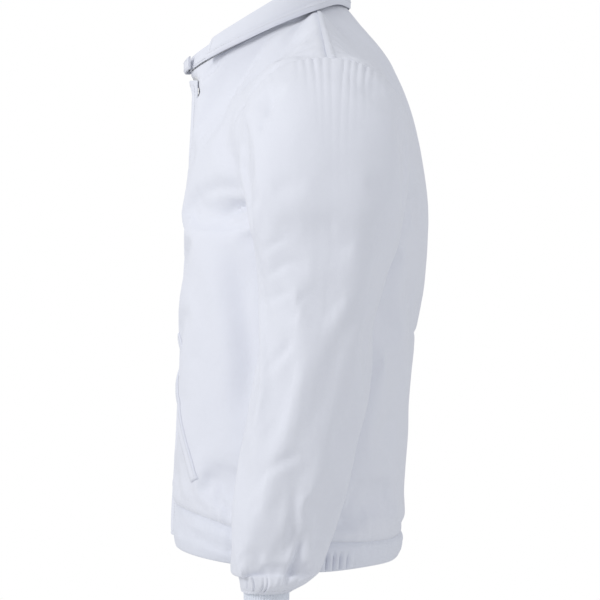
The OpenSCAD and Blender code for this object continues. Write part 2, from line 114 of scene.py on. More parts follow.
def addNode(tree, kind, settings=None, sockets=None):
    node = tree.nodes.new(kind)
    for key, value in (settings or {}).items():
        setattr(node, key, value)
    for key, value in (sockets or {}).items():
        if isinstance(value, bpy.types.NodeSocket):
            tree.links.new(value, node.inputs[key])
        else:
            node.inputs[key].default_value = value
    return node


def newMaterial(name):
    material = bpy.data.materials.new(name)
    material.use_nodes = True
    tree = material.node_tree
    return material, tree, tree.nodes["Principled BSDF"]


def mathNode(tree, operation, first, second, third=None):
    sockets = {0: first, 1: second}
    if third is not None:
        sockets[2] = third
    return addNode(tree, "ShaderNodeMath", {"operation": operation}, sockets).outputs[0]


def threadCoordinates(tree):
    # each piece carries its threads' directions, in metres along the warp and the weft
    thread = addNode(tree, "ShaderNodeAttribute", {"attribute_name": "thread"})
    scaled = addNode(tree, "ShaderNodeVectorMath", {"operation": "SCALE"},
                     {0: thread.outputs["Vector"], "Scale": 1000})
    return scaled.outputs[0]


def placeCoordinates(tree):
    place = addNode(tree, "ShaderNodeTexCoord").outputs["Object"]
    return addNode(tree, "ShaderNodeVectorMath", {"operation": "SCALE"}, {0: place, "Scale": 1000}).outputs[0]


def waveNode(tree, coordinates, direction, pitch, distortion=0.6):
    period = 0.6283 if direction == "DIAGONAL" else 0.3142
    return addNode(tree, "ShaderNodeTexWave", {"bands_direction": direction},
                   {"Vector": coordinates, "Scale": period / pitch, "Distortion": distortion,
                    "Detail": 1, "Detail Scale": 1.5}).outputs["Fac"]


def noiseNode(tree, coordinates, size, detail=3):
    return addNode(tree, "ShaderNodeTexNoise", None,
                   {"Vector": coordinates, "Scale": 1 / size, "Detail": detail,
                    "Roughness": 0.55}).outputs["Fac"]


def mixColour(tree, share, first, second):
    node = addNode(tree, "ShaderNodeMix", {"data_type": "RGBA"})
    for index, value in ((0, share), (6, first), (7, second)):
        if isinstance(value, bpy.types.NodeSocket):
            tree.links.new(value, node.inputs[index])
        else:
            node.inputs[index].default_value = value if index == 0 else (*value, 1)
    return node.outputs[2]


def spreadValue(tree, value, low, high, fromLow=0.3, fromHigh=0.7):
    return addNode(tree, "ShaderNodeMapRange", None,
                   {"Value": value, "From Min": fromLow, "From Max": fromHigh,
                    "To Min": low, "To Max": high}).outputs["Result"]


def clothMaterial(look):
    # twill or plain weave, with soft colour drift, painted shade in the hollows of the weave, painted shade
    # and wear darkening the seams and edges, and a little rubbed nap
    material, tree, shader = newMaterial(look["name"])
    threads, place = threadCoordinates(tree), placeCoordinates(tree)
    if look["weave"] == "twill":
        ridges = waveNode(tree, threads, "DIAGONAL", look["pitch"])
    else:
        ridges = mathNode(tree, "MAXIMUM", waveNode(tree, threads, "X", look["pitch"]),
                          waveNode(tree, threads, "Y", look["pitch"]))
    cross = waveNode(tree, threads, "X", look["pitch"] * 0.5, 0.3)
    slubs = noiseNode(tree, threads, look["pitch"] * 3)
    drift = noiseNode(tree, place, 90, 2)
    rumple = noiseNode(tree, place, look["rumple"], 4)
    fine = mathNode(tree, "MULTIPLY_ADD", ridges, 0.55, mathNode(tree, "MULTIPLY_ADD", cross, 0.2, slubs))
    # the seam mask: painted shade and wear along seams and edges
    shadeAndWear = addNode(tree, "ShaderNodeAttribute", {"attribute_name": "seamShadeAndWear"}).outputs["Fac"]
    colour = mixColour(tree, spreadValue(tree, drift, 0, 1), look["colour"], look["drift"])
    # painted shade: the colour is darker in the hollows of the weave and lighter on its ridges
    colour = mixColour(tree, spreadValue(tree, fine, 0, 0.35, 0.5, 1.3), look["valley"], colour)
    # painted shade and wear: the seam mask blends the colour towards the darker seam colour
    colour = mixColour(tree, mathNode(tree, "MULTIPLY", shadeAndWear, look["shadeAndWear"]), colour, look["seam"])
    tree.links.new(colour, shader.inputs["Base Color"])
    tree.links.new(spreadValue(tree, slubs, *look["roughness"]), shader.inputs["Roughness"])
    shader.inputs["Sheen Weight"].default_value = look["sheen"]
    shader.inputs["Sheen Roughness"].default_value = 0.45
    shader.inputs["Specular IOR Level"].default_value = look["gloss"]
    broad = addNode(tree, "ShaderNodeBump", None,
                    {"Height": rumple, "Strength": 0.5, "Distance": look["rumpleDepth"] * mm})
    weave = addNode(tree, "ShaderNodeBump", None,
                    {"Height": fine, "Strength": look["bump"], "Distance": look["pitch"] * 0.25 * mm,
                     "Normal": broad.outputs[0]})
    tree.links.new(weave.outputs[0], shader.inputs["Normal"])
    return material


def knitMaterial(look):
    # rows of small V stitches on the ribs, with painted shade darkening the hollows of the knit
    material, tree, shader = newMaterial(look["name"])
    threads, place = threadCoordinates(tree), placeCoordinates(tree)
    rows = waveNode(tree, threads, "Y", look["pitch"], 1.2)
    legs = waveNode(tree, threads, "DIAGONAL", look["pitch"] * 1.3, 0.8)
    fuzz = noiseNode(tree, threads, look["pitch"] * 0.5)
    height = mathNode(tree, "MULTIPLY_ADD", rows, 0.6, mathNode(tree, "MULTIPLY_ADD", legs, 0.5, fuzz))
    # painted shade: darker colour in the hollows of the knit, lighter on its raised rows
    colour = mixColour(tree, spreadValue(tree, height, 0, 1, 0.5, 1.4), look["valley"], look["colour"])
    colour = mixColour(tree, spreadValue(tree, noiseNode(tree, place, 25), 0, 0.4), colour, look["drift"])
    tree.links.new(colour, shader.inputs["Base Color"])
    tree.links.new(spreadValue(tree, fuzz, 0.8, 0.95), shader.inputs["Roughness"])
    shader.inputs["Sheen Weight"].default_value = look["sheen"]
    shader.inputs["Specular IOR Level"].default_value = 0.25
    bump = addNode(tree, "ShaderNodeBump", None, {"Height": height, "Strength": 0.7, "Distance": 0.35 * mm})
    tree.links.new(bump.outputs[0], shader.inputs["Normal"])
    return material


def metalMaterial(look):
    # plated zinc with rubbed high spots and fine scratches
    material, tree, shader = newMaterial(look["name"])
    place = placeCoordinates(tree)
    cloud, scratch = noiseNode(tree, place, 3), noiseNode(tree, place, 0.35, 5)
    colour = mixColour(tree, spreadValue(tree, cloud, 0, 1), look["colour"], look["rubbed"])
    tree.links.new(colour, shader.inputs["Base Color"])
    tree.links.new(spreadValue(tree, scratch, *look["roughness"]), shader.inputs["Roughness"])
    shader.inputs["Metallic"].default_value = look["metallic"]
    bump = addNode(tree, "ShaderNodeBump", None, {"Height": scratch, "Strength": 0.15, "Distance": 0.05 * mm})
    tree.links.new(bump.outputs[0], shader.inputs["Normal"])
    return material


def waddingMaterial(look):
    # matted polyester fibres
    material, tree, shader = newMaterial(look["name"])
    place = placeCoordinates(tree)
    clumps, fibres = noiseNode(tree, place, 7, 4), noiseNode(tree, place, 0.6, 5)
    colour = mixColour(tree, spreadValue(tree, clumps, 0, 1), look["colour"], look["drift"])
    tree.links.new(colour, shader.inputs["Base Color"])
    tree.links.new(spreadValue(tree, fibres, 0.85, 1), shader.inputs["Roughness"])
    shader.inputs["Sheen Weight"].default_value = 0.5
    height = mathNode(tree, "MULTIPLY_ADD", clumps, 2.0, fibres)
    bump = addNode(tree, "ShaderNodeBump", None, {"Height": height, "Strength": 0.6, "Distance": 0.6 * mm})
    tree.links.new(bump.outputs[0], shader.inputs["Normal"])
    return material


# in each cloth look, the darker colour for the weave's hollows is painted shade, and the seam colour is
# painted shade and wear along seams and edges
finishes = {
    "shell": clothMaterial({
        "name": "white_twill", "weave": "twill", "pitch": 0.75, "bump": 0.35,
        "rumple": 16, "rumpleDepth": 1.1,
        "colour": (0.81, 0.822, 0.878), "drift": (0.79, 0.804, 0.864), "valley": (0.765, 0.78, 0.847),
        "seam": (0.70, 0.72, 0.79), "shadeAndWear": 0.45, "roughness": (0.74, 0.9), "sheen": 0.18, "gloss": 0.3}),
    "band": clothMaterial({
        "name": "white_twill_band", "weave": "twill", "pitch": 0.75, "bump": 0.35,
        "rumple": 9, "rumpleDepth": 1.2,
        "colour": (0.80, 0.815, 0.875), "drift": (0.775, 0.795, 0.86), "valley": (0.75, 0.77, 0.845),
        "seam": (0.68, 0.70, 0.77), "shadeAndWear": 0.5, "roughness": (0.76, 0.92), "sheen": 0.2, "gloss": 0.28}),
    "lining": clothMaterial({
        "name": "lining_taffeta", "weave": "plain", "pitch": 0.32, "bump": 0.2,
        "rumple": 12, "rumpleDepth": 0.9,
        "colour": (0.80, 0.81, 0.83), "drift": (0.77, 0.785, 0.81), "valley": (0.74, 0.75, 0.78),
        "seam": (0.66, 0.67, 0.70), "shadeAndWear": 0.5, "roughness": (0.42, 0.6), "sheen": 0.05, "gloss": 0.5}),
    "tape": clothMaterial({
        "name": "woven_tape", "weave": "twill", "pitch": 0.9, "bump": 0.6, "rumple": 14, "rumpleDepth": 0.4,
        "colour": (0.82, 0.83, 0.86), "drift": (0.80, 0.81, 0.84), "valley": (0.70, 0.71, 0.75),
        "seam": (0.66, 0.67, 0.71), "shadeAndWear": 0.4, "roughness": (0.6, 0.8), "sheen": 0.1, "gloss": 0.35}),
    "elastic": clothMaterial({
        "name": "ribbed_elastic", "weave": "plain", "pitch": 1.4, "bump": 0.9,
        "rumple": 10, "rumpleDepth": 0.3,
        "colour": (0.80, 0.80, 0.80), "drift": (0.78, 0.78, 0.78), "valley": (0.66, 0.66, 0.67),
        "seam": (0.6, 0.6, 0.6), "shadeAndWear": 0.3, "roughness": (0.6, 0.8), "sheen": 0.1, "gloss": 0.3}),
    "thread": clothMaterial({
        "name": "sewing_thread", "weave": "twill", "pitch": 0.25, "bump": 0.5,
        "rumple": 5, "rumpleDepth": 0.1,
        "colour": (0.86, 0.865, 0.89), "drift": (0.83, 0.84, 0.87), "valley": (0.74, 0.75, 0.79),
        "seam": (0.7, 0.7, 0.74), "shadeAndWear": 0.2, "roughness": (0.5, 0.65), "sheen": 0.15, "gloss": 0.45}),
    # the rib knit's colour is set lighter and bluer than the shell's: partly its own white, partly painted
    # light that offsets the shade under the sleeve's ruffled end
    "knit": knitMaterial({"name": "rib_knit", "pitch": 0.9, "sheen": 0.3, "colour": (0.85, 0.885, 0.955),
                          "valley": (0.70, 0.74, 0.83), "drift": (0.82, 0.86, 0.94)}),
    "wadding": waddingMaterial({"name": "polyester_wadding", "colour": (0.85, 0.85, 0.86),
                                "drift": (0.78, 0.79, 0.80)}),
    "stud": metalMaterial({"name": "stud_nickel", "colour": (0.30, 0.30, 0.30), "rubbed": (0.44, 0.44, 0.43),
                           "roughness": (0.3, 0.5), "metallic": 0.95}),
    "zipMetal": metalMaterial({"name": "zip_nickel", "colour": (0.42, 0.42, 0.41),
                               "rubbed": (0.62, 0.62, 0.60),
                               "roughness": (0.22, 0.42), "metallic": 1.0}),
    "zipPlastic": metalMaterial({"name": "zip_nylon", "colour": (0.78, 0.79, 0.81),
                                 "rubbed": (0.84, 0.845, 0.86),
                                 "roughness": (0.3, 0.45), "metallic": 0.0}),
    "floor": metalMaterial({"name": "pale_floor", "colour": (0.83, 0.83, 0.83), "rubbed": (0.85, 0.85, 0.85),
                            "roughness": (0.7, 0.85), "metallic": 0.0}),
}


# numbers and curves

def ease(t):
    c = np.clip(t, 0, 1)
    return c * c * (3 - 2 * c)


def mix(a, b, t):
    return a + (b - a) * t


def signedPower(v, e):
    return np.sign(v) * np.abs(v) ** e


def bell(v):
    return np.exp(-v * v)


def sind(a):
    return np.sin(np.radians(a))


def cosd(a):
    return np.cos(np.radians(a))


def point(*parts):
    return np.stack(np.broadcast_arrays(*parts), -1).astype(float)


def unit(v):
    return v / np.maximum(np.linalg.norm(v, axis=-1, keepdims=True), 1e-12)


def smoothCurve(knots, x):
    # a curve through the knots that never swings past them
    knots = np.asarray(knots, float)
    xs, ys = knots[:, 0], knots[:, 1]
    rise = np.diff(ys) / np.diff(xs)
    product = rise[1:] * rise[:-1]
    total = rise[1:] + rise[:-1]
    middle = np.where(product > 0, 2 * product / np.where(product > 0, total, 1), 0)
    slope = np.concatenate([rise[:1], middle, rise[-1:]])
    x = np.asarray(x, float)
    i = np.clip(np.searchsorted(xs, x) - 1, 0, len(xs) - 2)
    h = xs[i + 1] - xs[i]
    t = np.clip((x - xs[i]) / h, 0, 1)
    return ((1 + 2 * t) * (1 - t) ** 2 * ys[i] + t * (1 - t) ** 2 * h * slope[i]
            + t * t * (3 - 2 * t) * ys[i + 1] + t * t * (t - 1) * h * slope[i + 1])


def between(a, b, c, d, f):
    # a smooth value from b (f = 0) to c (f = 1), heeding the neighbours a and d
    return b + 0.5 * f * (c - a + f * (2 * a - 5 * b + 4 * c - d + f * (3 * (b - c) + d - a)))


def softNoise(points, size, seed):
    # smooth noise from -1 to 1; size is the width of one lump, one number or three
    side = 32
    table = np.random.default_rng(seed).uniform(-1, 1, (side, side, side))
    place = np.asarray(points, float) / np.asarray(size, float)
    cell = np.floor(place).astype(int)
    part = ease(place - cell)
    total = 0
    for corner in np.ndindex(2, 2, 2):
        i, j, k = ((cell[..., n] + corner[n]) % side for n in range(3))
        weight = 1
        for n in range(3):
            weight = weight * (part[..., n] if corner[n] else 1 - part[..., n])
        total = total + weight * table[i, j, k]
    return total


def closeEnds(count, share=0.5):
    # 0 to 1, with closer steps at both ends where the seams are
    t = np.linspace(0, 1, count)
    return mix(t, (1 - np.cos(pi * t)) / 2, share)


# the cut of the jacket, in millimetres, in the part's own frame

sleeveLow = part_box("sleeve_left")[0]
cuffLow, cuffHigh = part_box("knit_cuff_left")
cut = {
    "chestHalfW": sleeveLow.x / mm - 1.5, "armholeFootZ": -245, "bandSeamZ": -543, "bandHeight": 42,
    "frontLine": [[-650, -109], [-545, -110], [-427, -110], [-320, -107], [-230, -101],
                  [-170, -97], [-97, -88], [-44, -92]],
    "backLine": [[-650, 148], [-545, 157], [-427, 165], [-355, 172], [-260, 187],
                 [-190, 187], [-110, 176], [-32, 148], [10, 116], [42, 88]],
    "widthLine": [[-650, -22], [-590, -18], [-545, -9], [-450, -3], [-245, 0], [100, 0]],
    "sideLine": [[-545, 45], [-245, 65]],
    "hemFall": 0.078, "seamFall": 16, "edgeFall": 8, "bandValley": 4, "bodyRound": 0.86, "holeRound": 0.88,
    "neckY": -2, "neckHalfW": 75, "neckHalfDepth": 90, "neckTilt": 0.472, "shoulderPhi": 48.2,
    "holeY": 65, "holeHalfDepth": 90, "holeHalfHeight": 97, "shoulderShift": 4,
    "zipTop": (0, -79.5, -62), "zipLean": 2.8, "edgeX": 9, "valleyFrom": 30, "valleyTo": 78,
    "frontCorner": 0.5, "backCorner": 0.25,
    "sideOut": 0.6, "shell": 1.6, "waddingIn": 2.0, "wadding": 4.5, "liningIn": 6.9, "lining": 1.2,
}
holeZ = cut["armholeFootZ"] + cut["holeHalfHeight"]


def halfWidth(z):
    return cut["chestHalfW"] + smoothCurve(cut["widthLine"], z)


def zipY(z):
    return cut["zipTop"][1] + (z - cut["zipTop"][2]) * np.tan(radians(cut["zipLean"]))


def neckZ(y):
    return cut["neckTilt"] * (y - cut["neckY"])


def neckPoint(phi, out=0, up=0):
    seamY = cut["neckY"] + cut["neckHalfDepth"] * cosd(phi)
    return point((cut["neckHalfW"] + out) * sind(phi),
                 cut["neckY"] + (cut["neckHalfDepth"] + out) * cosd(phi), neckZ(seamY) + up)


def holePoint(a, way):
    return point(cut["chestHalfW"],
                 cut["holeY"] + way * cut["holeHalfDepth"] * np.maximum(cosd(a), 0) ** cut["holeRound"]
                 + cut["shoulderShift"] * ease((a - 20) / 70),
                 holeZ + cut["holeHalfHeight"] * signedPower(sind(a), cut["holeRound"]))


def inward(p):
    rise = 0.0135 * ease((p[..., 2] + 190) / 160)
    return unit(point(-p[..., 0] / 220 ** 2, -(p[..., 1] - 42) / 135 ** 2, -rise))


def rowPoint(inner, outer, u, turn):
    a = 90 * u * turn
    sx = (sind(a) / sind(90 * turn)) ** cut["bodyRound"]
    bent = (cosd(a) - cosd(90 * turn)) / np.maximum(1 - cosd(90 * turn), 1e-9)
    cy = np.clip(bent, 0, 1) ** mix(cut["bodyRound"], 1, ease((1 - turn) / 0.2))
    return point(mix(inner[..., 0], outer[..., 0], sx), mix(outer[..., 1], inner[..., 1], cy),
                 mix(inner[..., 2], outer[..., 2], sx))


def topEdge(u, corner, phiStart):
    neck = neckPoint(mix(phiStart, cut["shoulderPhi"], np.minimum(u / corner, 1)))
    share = np.clip((u - corner) / (1 - corner), 0, 1)[..., None]
    shoulder = mix(neckPoint(cut["shoulderPhi"]), holePoint(90, 1), share)
    return np.where((u <= corner)[..., None], neck, shoulder)


def seamFall(y):
    # the waistband seam drops from the front round to the back
    return cut["seamFall"] * ease((y + 110) / 130)


def panelPoint(t, u, way):
    # half a front (way -1) or half a back (way 1); t runs 0 hem, 1 armhole foot, 2 shoulder
    line = cut["frontLine"] if way < 0 else cut["backLine"]
    corner = cut["frontCorner"] if way < 0 else cut["backCorner"]
    phiStart = 180 if way < 0 else 0
    t, u = np.broadcast_arrays(np.asarray(t, float), np.asarray(u, float))
    topZ = neckZ(cut["neckY"] + way * cut["neckHalfDepth"])
    s = np.maximum(0, t - 1)
    footZ = mix(cut["bandSeamZ"], cut["armholeFootZ"], np.minimum(t, 1))
    centreZ = np.where(s > 0, mix(cut["armholeFootZ"], topZ, s), footZ)
    inner = point(0, smoothCurve(line, centreZ), centreZ)
    low = point(halfWidth(footZ), smoothCurve(cut["sideLine"], footZ), footZ)
    hole = holePoint(mix(-90, 90, s), way)
    # only the edge follows the armhole closely; the panel itself passes smoothly into the side
    follow = mix(ease(s / 0.5), 1, ease((u - 0.6) / 0.4))
    hole[..., 1] = mix(cut["holeY"], hole[..., 1], follow)
    outer = np.where((s > 0)[..., None], hole, low)
    turn = 1 - 0.38 * ease(s * 1.6)
    flat = rowPoint(inner, outer, u, turn)
    topInner = point(0, smoothCurve(line, topZ), topZ)
    last = rowPoint(np.broadcast_to(topInner, flat.shape), holePoint(90, 1), u, np.full_like(u, 0.62))
    # the corner between neck and shoulder is sharp at the seam only
    reach = 0.07 * (1 - s ** 6) * np.minimum(1, 5 * np.minimum(u, 1 - u))
    edge = sum(topEdge(np.clip(u + k * reach, 0, 1), corner, phiStart) for k in (-2, -1, 0, 1, 2)) / 5
    lift = (edge - last) * (s * s)[..., None]
    sink = -(cut["hemFall"] * (flat[..., 1] + 100) + seamFall(flat[..., 1])) * (1 - ease(t * 1.5))
    moved = flat + lift
    moved[..., 2] += sink
    return moved


def bodyPoint(t, u, way):
    # away from its edges a panel passes smoothly over the level of the armhole's foot
    t, u = np.broadcast_arrays(np.asarray(t, float), np.asarray(u, float))
    reach = 0.06 * bell((t - 1) / 0.2) * ease((1 - u) / 0.2)
    return sum(panelPoint(np.clip(t + k * reach, 0, 2), u, way) for k in (-2, -1, 0, 1, 2)) / 5


def frontPoint(t, u):
    p = bodyPoint(t, u, -1)
    swell = ease((p[..., 0] - cut["valleyFrom"]) / (cut["valleyTo"] - cut["valleyFrom"]))
    hold = ease((cut["zipTop"][2] + 26 - p[..., 2]) / 30)
    return point(np.maximum(p[..., 0], cut["edgeX"]),
                 mix(p[..., 1], zipY(p[..., 2]), (1 - swell) * hold), p[..., 2])


def hemPoint(a, drop, out):
    # the hem ring: a runs from 0 at the centre front to 180 at the centre back
    z0 = cut["bandSeamZ"] - drop
    x = (halfWidth(z0) + out) * np.abs(sind(a)) ** cut["bodyRound"]
    sideY = smoothCurve(cut["sideLine"], z0)
    swell = ease((x - cut["valleyFrom"]) / (cut["valleyTo"] - cut["valleyFrom"]))
    reach = np.where(cosd(a) >= 0, sideY - zipY(z0) + (cut["bandValley"] + out) * swell,
                     smoothCurve(cut["backLine"], z0) - sideY + out)
    y = sideY - signedPower(cosd(a), cut["bodyRound"]) * reach
    edgeFall = cut["edgeFall"] * (1 - ease((y - 40) / 90))
    fall = mix(seamFall(y), edgeFall, np.clip(drop / cut["bandHeight"], 0, 1))
    return point(x, y, z0 - cut["hemFall"] * (y + 100) - fall)


# meshes

def gridFaces(rows, columns, wrap, base=0, flip=False):
    i, j = np.meshgrid(np.arange(rows - 1), np.arange(columns if wrap else columns - 1), indexing="ij")
    k = (j + 1) % columns
    low, high = base + i * columns, base + (i + 1) * columns
    quads = np.stack([low + j, low + k, high + k, high + j], -1).reshape(-1, 4)
    return quads[:, ::-1] if flip else quads


def strips(first, second):
    return np.stack([first[:-1], first[1:], second[1:], second[:-1]], -1)


def slabFaces(rows, columns, wrap):
    # outer grid, inner grid and the rims between them
    shift = rows * columns
    ring = np.arange(columns + 1) % columns if wrap else np.arange(columns)
    parts = [gridFaces(rows, columns, wrap), gridFaces(rows, columns, wrap, shift, True),
             strips(ring + shift, ring), strips(ring + shift - columns, ring + 2 * shift - columns)]
    if not wrap:
        side = np.arange(rows) * columns
        parts += [strips(side, side + shift), strips(side + shift + columns - 1, side + columns - 1)]
    return np.concatenate(parts)


def addPiece(name, verts, faces, finish, thread=None, shadeAndWear=None, body="jacket", slot="shell_cloth",
             stands=(), blend=None, sharp=60, capped=False):
    # one mesh piece from millimetre points; it rides on its body unless it is given a bend line, and stands
    # for its parts
    mesh = bpy.data.meshes.new(name)
    mesh.from_pydata((np.asarray(verts, float) * mm).tolist(), [], np.asarray(faces).tolist())
    tool = bmesh.new()
    tool.from_mesh(mesh)
    if capped:
        rims = [edge for edge in tool.edges if edge.is_boundary]
        lids = bmesh.ops.holes_fill(tool, edges=rims, sides=0)["faces"]
        bmesh.ops.triangulate(tool, faces=lids)
    bmesh.ops.recalc_face_normals(tool, faces=tool.faces)
    tool.to_mesh(mesh)
    tool.free()
    count = len(mesh.vertices)
    threadData = mesh.attributes.new("thread", "FLOAT_VECTOR", "POINT").data
    if thread is None:
        thread = np.asarray(verts)[:, [0, 2]]
    flatThread = np.zeros((count, 3), np.float32)
    flatThread[:, :2] = np.asarray(thread) * mm
    threadData.foreach_set("vector", flatThread.ravel())
    # per-point mask of painted shade and wear along seams and edges, read by the cloth finishes
    shadeAndWearData = mesh.attributes.new("seamShadeAndWear", "FLOAT", "POINT").data
    shadedAndWorn = np.zeros(count) if shadeAndWear is None else shadeAndWear
    shadeAndWearData.foreach_set("value", np.asarray(shadedAndWorn, np.float32))
    mesh.polygons.foreach_set("use_smooth", np.ones(len(mesh.polygons), bool))
    mesh.set_sharp_from_angle(angle=radians(sharp))
    piece = bpy.data.objects.new(name, mesh)
    bpy.context.scene.collection.objects.link(piece)
    mesh.materials.append(finishes[finish])
    if blend is None:
        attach(piece, body)
    else:
        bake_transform(piece)
    if stands:
        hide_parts(*stands)
    return piece


def addSlab(name, outer, inner, finish, wrap=False, thread=None, shadeAndWear=None, **more):
    rows, columns = outer.shape[:2]
    verts = np.concatenate([outer.reshape(-1, 3), inner.reshape(-1, 3)])
    both = None if thread is None else np.tile(thread.reshape(-1, 2), (2, 1))
    shadedAndWorn = None if shadeAndWear is None else np.tile(shadeAndWear.ravel(), 2)
    return addPiece(name, verts, slabFaces(rows, columns, wrap), finish, both, shadedAndWorn, **more)


def runLengths(points, axis):
    # length along each row or column of a grid, from its start
    step = np.linalg.norm(np.diff(points, axis=axis), axis=-1)
    return np.concatenate([np.zeros_like(step.take([0], axis)), np.cumsum(step, axis)], axis)


def makeSurface(points, outward, rows, columns):
    across, along = runLengths(points, 1), runLengths(points, 0)
    return {"points": points, "out": outward, "rows": rows, "columns": columns,
            "across": across, "along": along,
            "fromLeft": across, "fromRight": across[:, -1:] - across,
            "fromLow": along, "fromTop": along[-1:] - along}


def lookUp(grid, surface, row, column):
    # bilinear value of a grid at fractional rows and columns
    i = np.interp(row, surface["rows"], np.arange(len(surface["rows"])))
    j = np.interp(column, surface["columns"], np.arange(len(surface["columns"])))
    i0 = np.minimum(i.astype(int), len(surface["rows"]) - 2)
    j0 = np.minimum(j.astype(int), len(surface["columns"]) - 2)
    fi, fj = (i - i0)[..., None], (j - j0)[..., None]
    return ((1 - fi) * (1 - fj) * grid[i0, j0] + (1 - fi) * fj * grid[i0, j0 + 1]
            + fi * (1 - fj) * grid[i0 + 1, j0] + fi * fj * grid[i0 + 1, j0 + 1])


def spotOn(surface, row, column):
    # a place on a surface, and the direction out of it
    return lookUp(surface["points"], surface, row, column), lookUp(surface["out"], surface, row, column)


# folds

def creaseOffset(points, crease):
    # a hollow line seen from the side: a route of (y, z) points, with a soft lip above or below it
    route = np.asarray(crease["route"], float)
    y, z = points[..., 1], points[..., 2]
    lengths = np.linalg.norm(np.diff(route, axis=0), axis=1)
    total, before = lengths.sum(), 0
    nearest, where, signed = np.full(y.shape, 1e9), np.zeros(y.shape), np.zeros(y.shape)
    for k, length in enumerate(lengths):
        ay, az = route[k]
        dy, dz = (route[k + 1] - route[k]) / length
        s = np.clip((y - ay) * dy + (z - az) * dz, 0, length)
        off = np.hypot(y - ay - s * dy, z - az - s * dz)
        closer = off < nearest
        nearest = np.where(closer, off, nearest)
        where = np.where(closer, (before + s) / total, where)
        signed = np.where(closer, (y - ay) * dz - (z - az) * dy, signed)
        before += length
    width = crease["width"]
    taper = np.clip(np.sin(pi * np.clip(where, 0.04, 0.96)), 0, 1) ** 0.7 * (nearest < 6 * width)
    lip = crease.get("lip", 0.45) * bell((signed - 1.7 * width) / (1.1 * width)) * bell(nearest / (3 * width))
    return crease["depth"] * taper * (lip - bell(nearest / width))


def seamHollow(distance, depth=1.5, width=3.2, ridge=0.5):
    # a sewn seam: a narrow hollow with the soft ridge of its allowance beside it
    return ridge * bell((distance - 8) / 4.5) - depth * bell(distance / width)


def puckers(distance, along, pitch, reach, height, seed):
    # short gathers that run away from a seam
    drift = softNoise(point(along, distance * 0.3, 0), (pitch * 2.6, 60, 1), seed)
    size = 0.65 + 0.5 * softNoise(point(along, 0, 5), (pitch * 4, 1, 1), seed + 1)
    wave = np.sin(2 * pi * along / pitch + 2.4 * drift)
    return height * size * wave * np.exp(-distance / reach) * (1 - np.exp(-distance / 3))


bodyLook = {
    "drapeHeight": 2.6, "drapeSize": (60, 60, 170), "lumpHeight": 1.3, "lumpSize": (34, 34, 42),
    "sidePuckers": (13, 13, 0.8), "hemPuckers": (15, 20, 1.6), "holePuckers": (10, 13, 1.0),
    "topPuckers": (9, 10, 0.6), "zipPuckers": (17, 14, 0.6), "slim": (1.0, 3.4), "overBand": 1.0,
    "holeHollow": ((2.0, 13.0, 0.9), (2.0, 7.0, 0.9)), "shoulderLap": 1.8,
    "rightShift": (0, 7, -13), "rightShare": 0.75,
    # creases as seen from the wearer's left; width and depth in millimetres
    "frontCreases": [
        {"route": [[-56, -219], [-32, -208], [-8, -198]], "width": 5.5, "depth": 6.0},
        {"route": [[-72, -190], [-46, -183], [-20, -188]], "width": 7, "depth": 4.4},
        {"route": [[-42, -118], [-33, -160], [-26, -208]], "width": 8, "depth": 6.5},
        {"route": [[-40, -240], [-28, -300], [-18, -380], [-22, -450]], "width": 15, "depth": 8.0},
        {"route": [[-62, -524], [-46, -533], [-30, -548]], "width": 5, "depth": 3.4},
        {"route": [[-88, -498], [-78, -520], [-66, -540]], "width": 6, "depth": 1.8},
        {"route": [[-84, -262], [-72, -300], [-66, -350]], "width": 12, "depth": 1.4},
        {"route": [[-44, -82], [-50, -108], [-64, -128]], "width": 6, "depth": 1.6},
    ],
    "backCreases": [
        {"route": [[112, -62], [130, -86], [144, -112], [154, -146]], "width": 5, "depth": 5.0},
        {"route": [[102, -86], [124, -86], [142, -80]], "width": 4.5, "depth": 3.4},
        {"route": [[128, -503], [121, -525], [112, -546]], "width": 8, "depth": 2.6},
        {"route": [[150, -100], [160, -150], [158, -195], [150, -240]], "width": 8, "depth": 5.5},
        {"route": [[142, -250], [138, -330], [124, -400]], "width": 14, "depth": 2.0},
        {"route": [[96, -522], [90, -540], [88, -556]], "width": 5, "depth": 2.2},
        {"route": [[150, -420], [142, -450], [130, -470]], "width": 10, "depth": 1.4},
    ],
}

frontRows, frontColumns = 2 * closeEnds(150, 0.45), closeEnds(112, 0.55)
backRows, backColumns = frontRows, np.linspace(0, 1, 92)


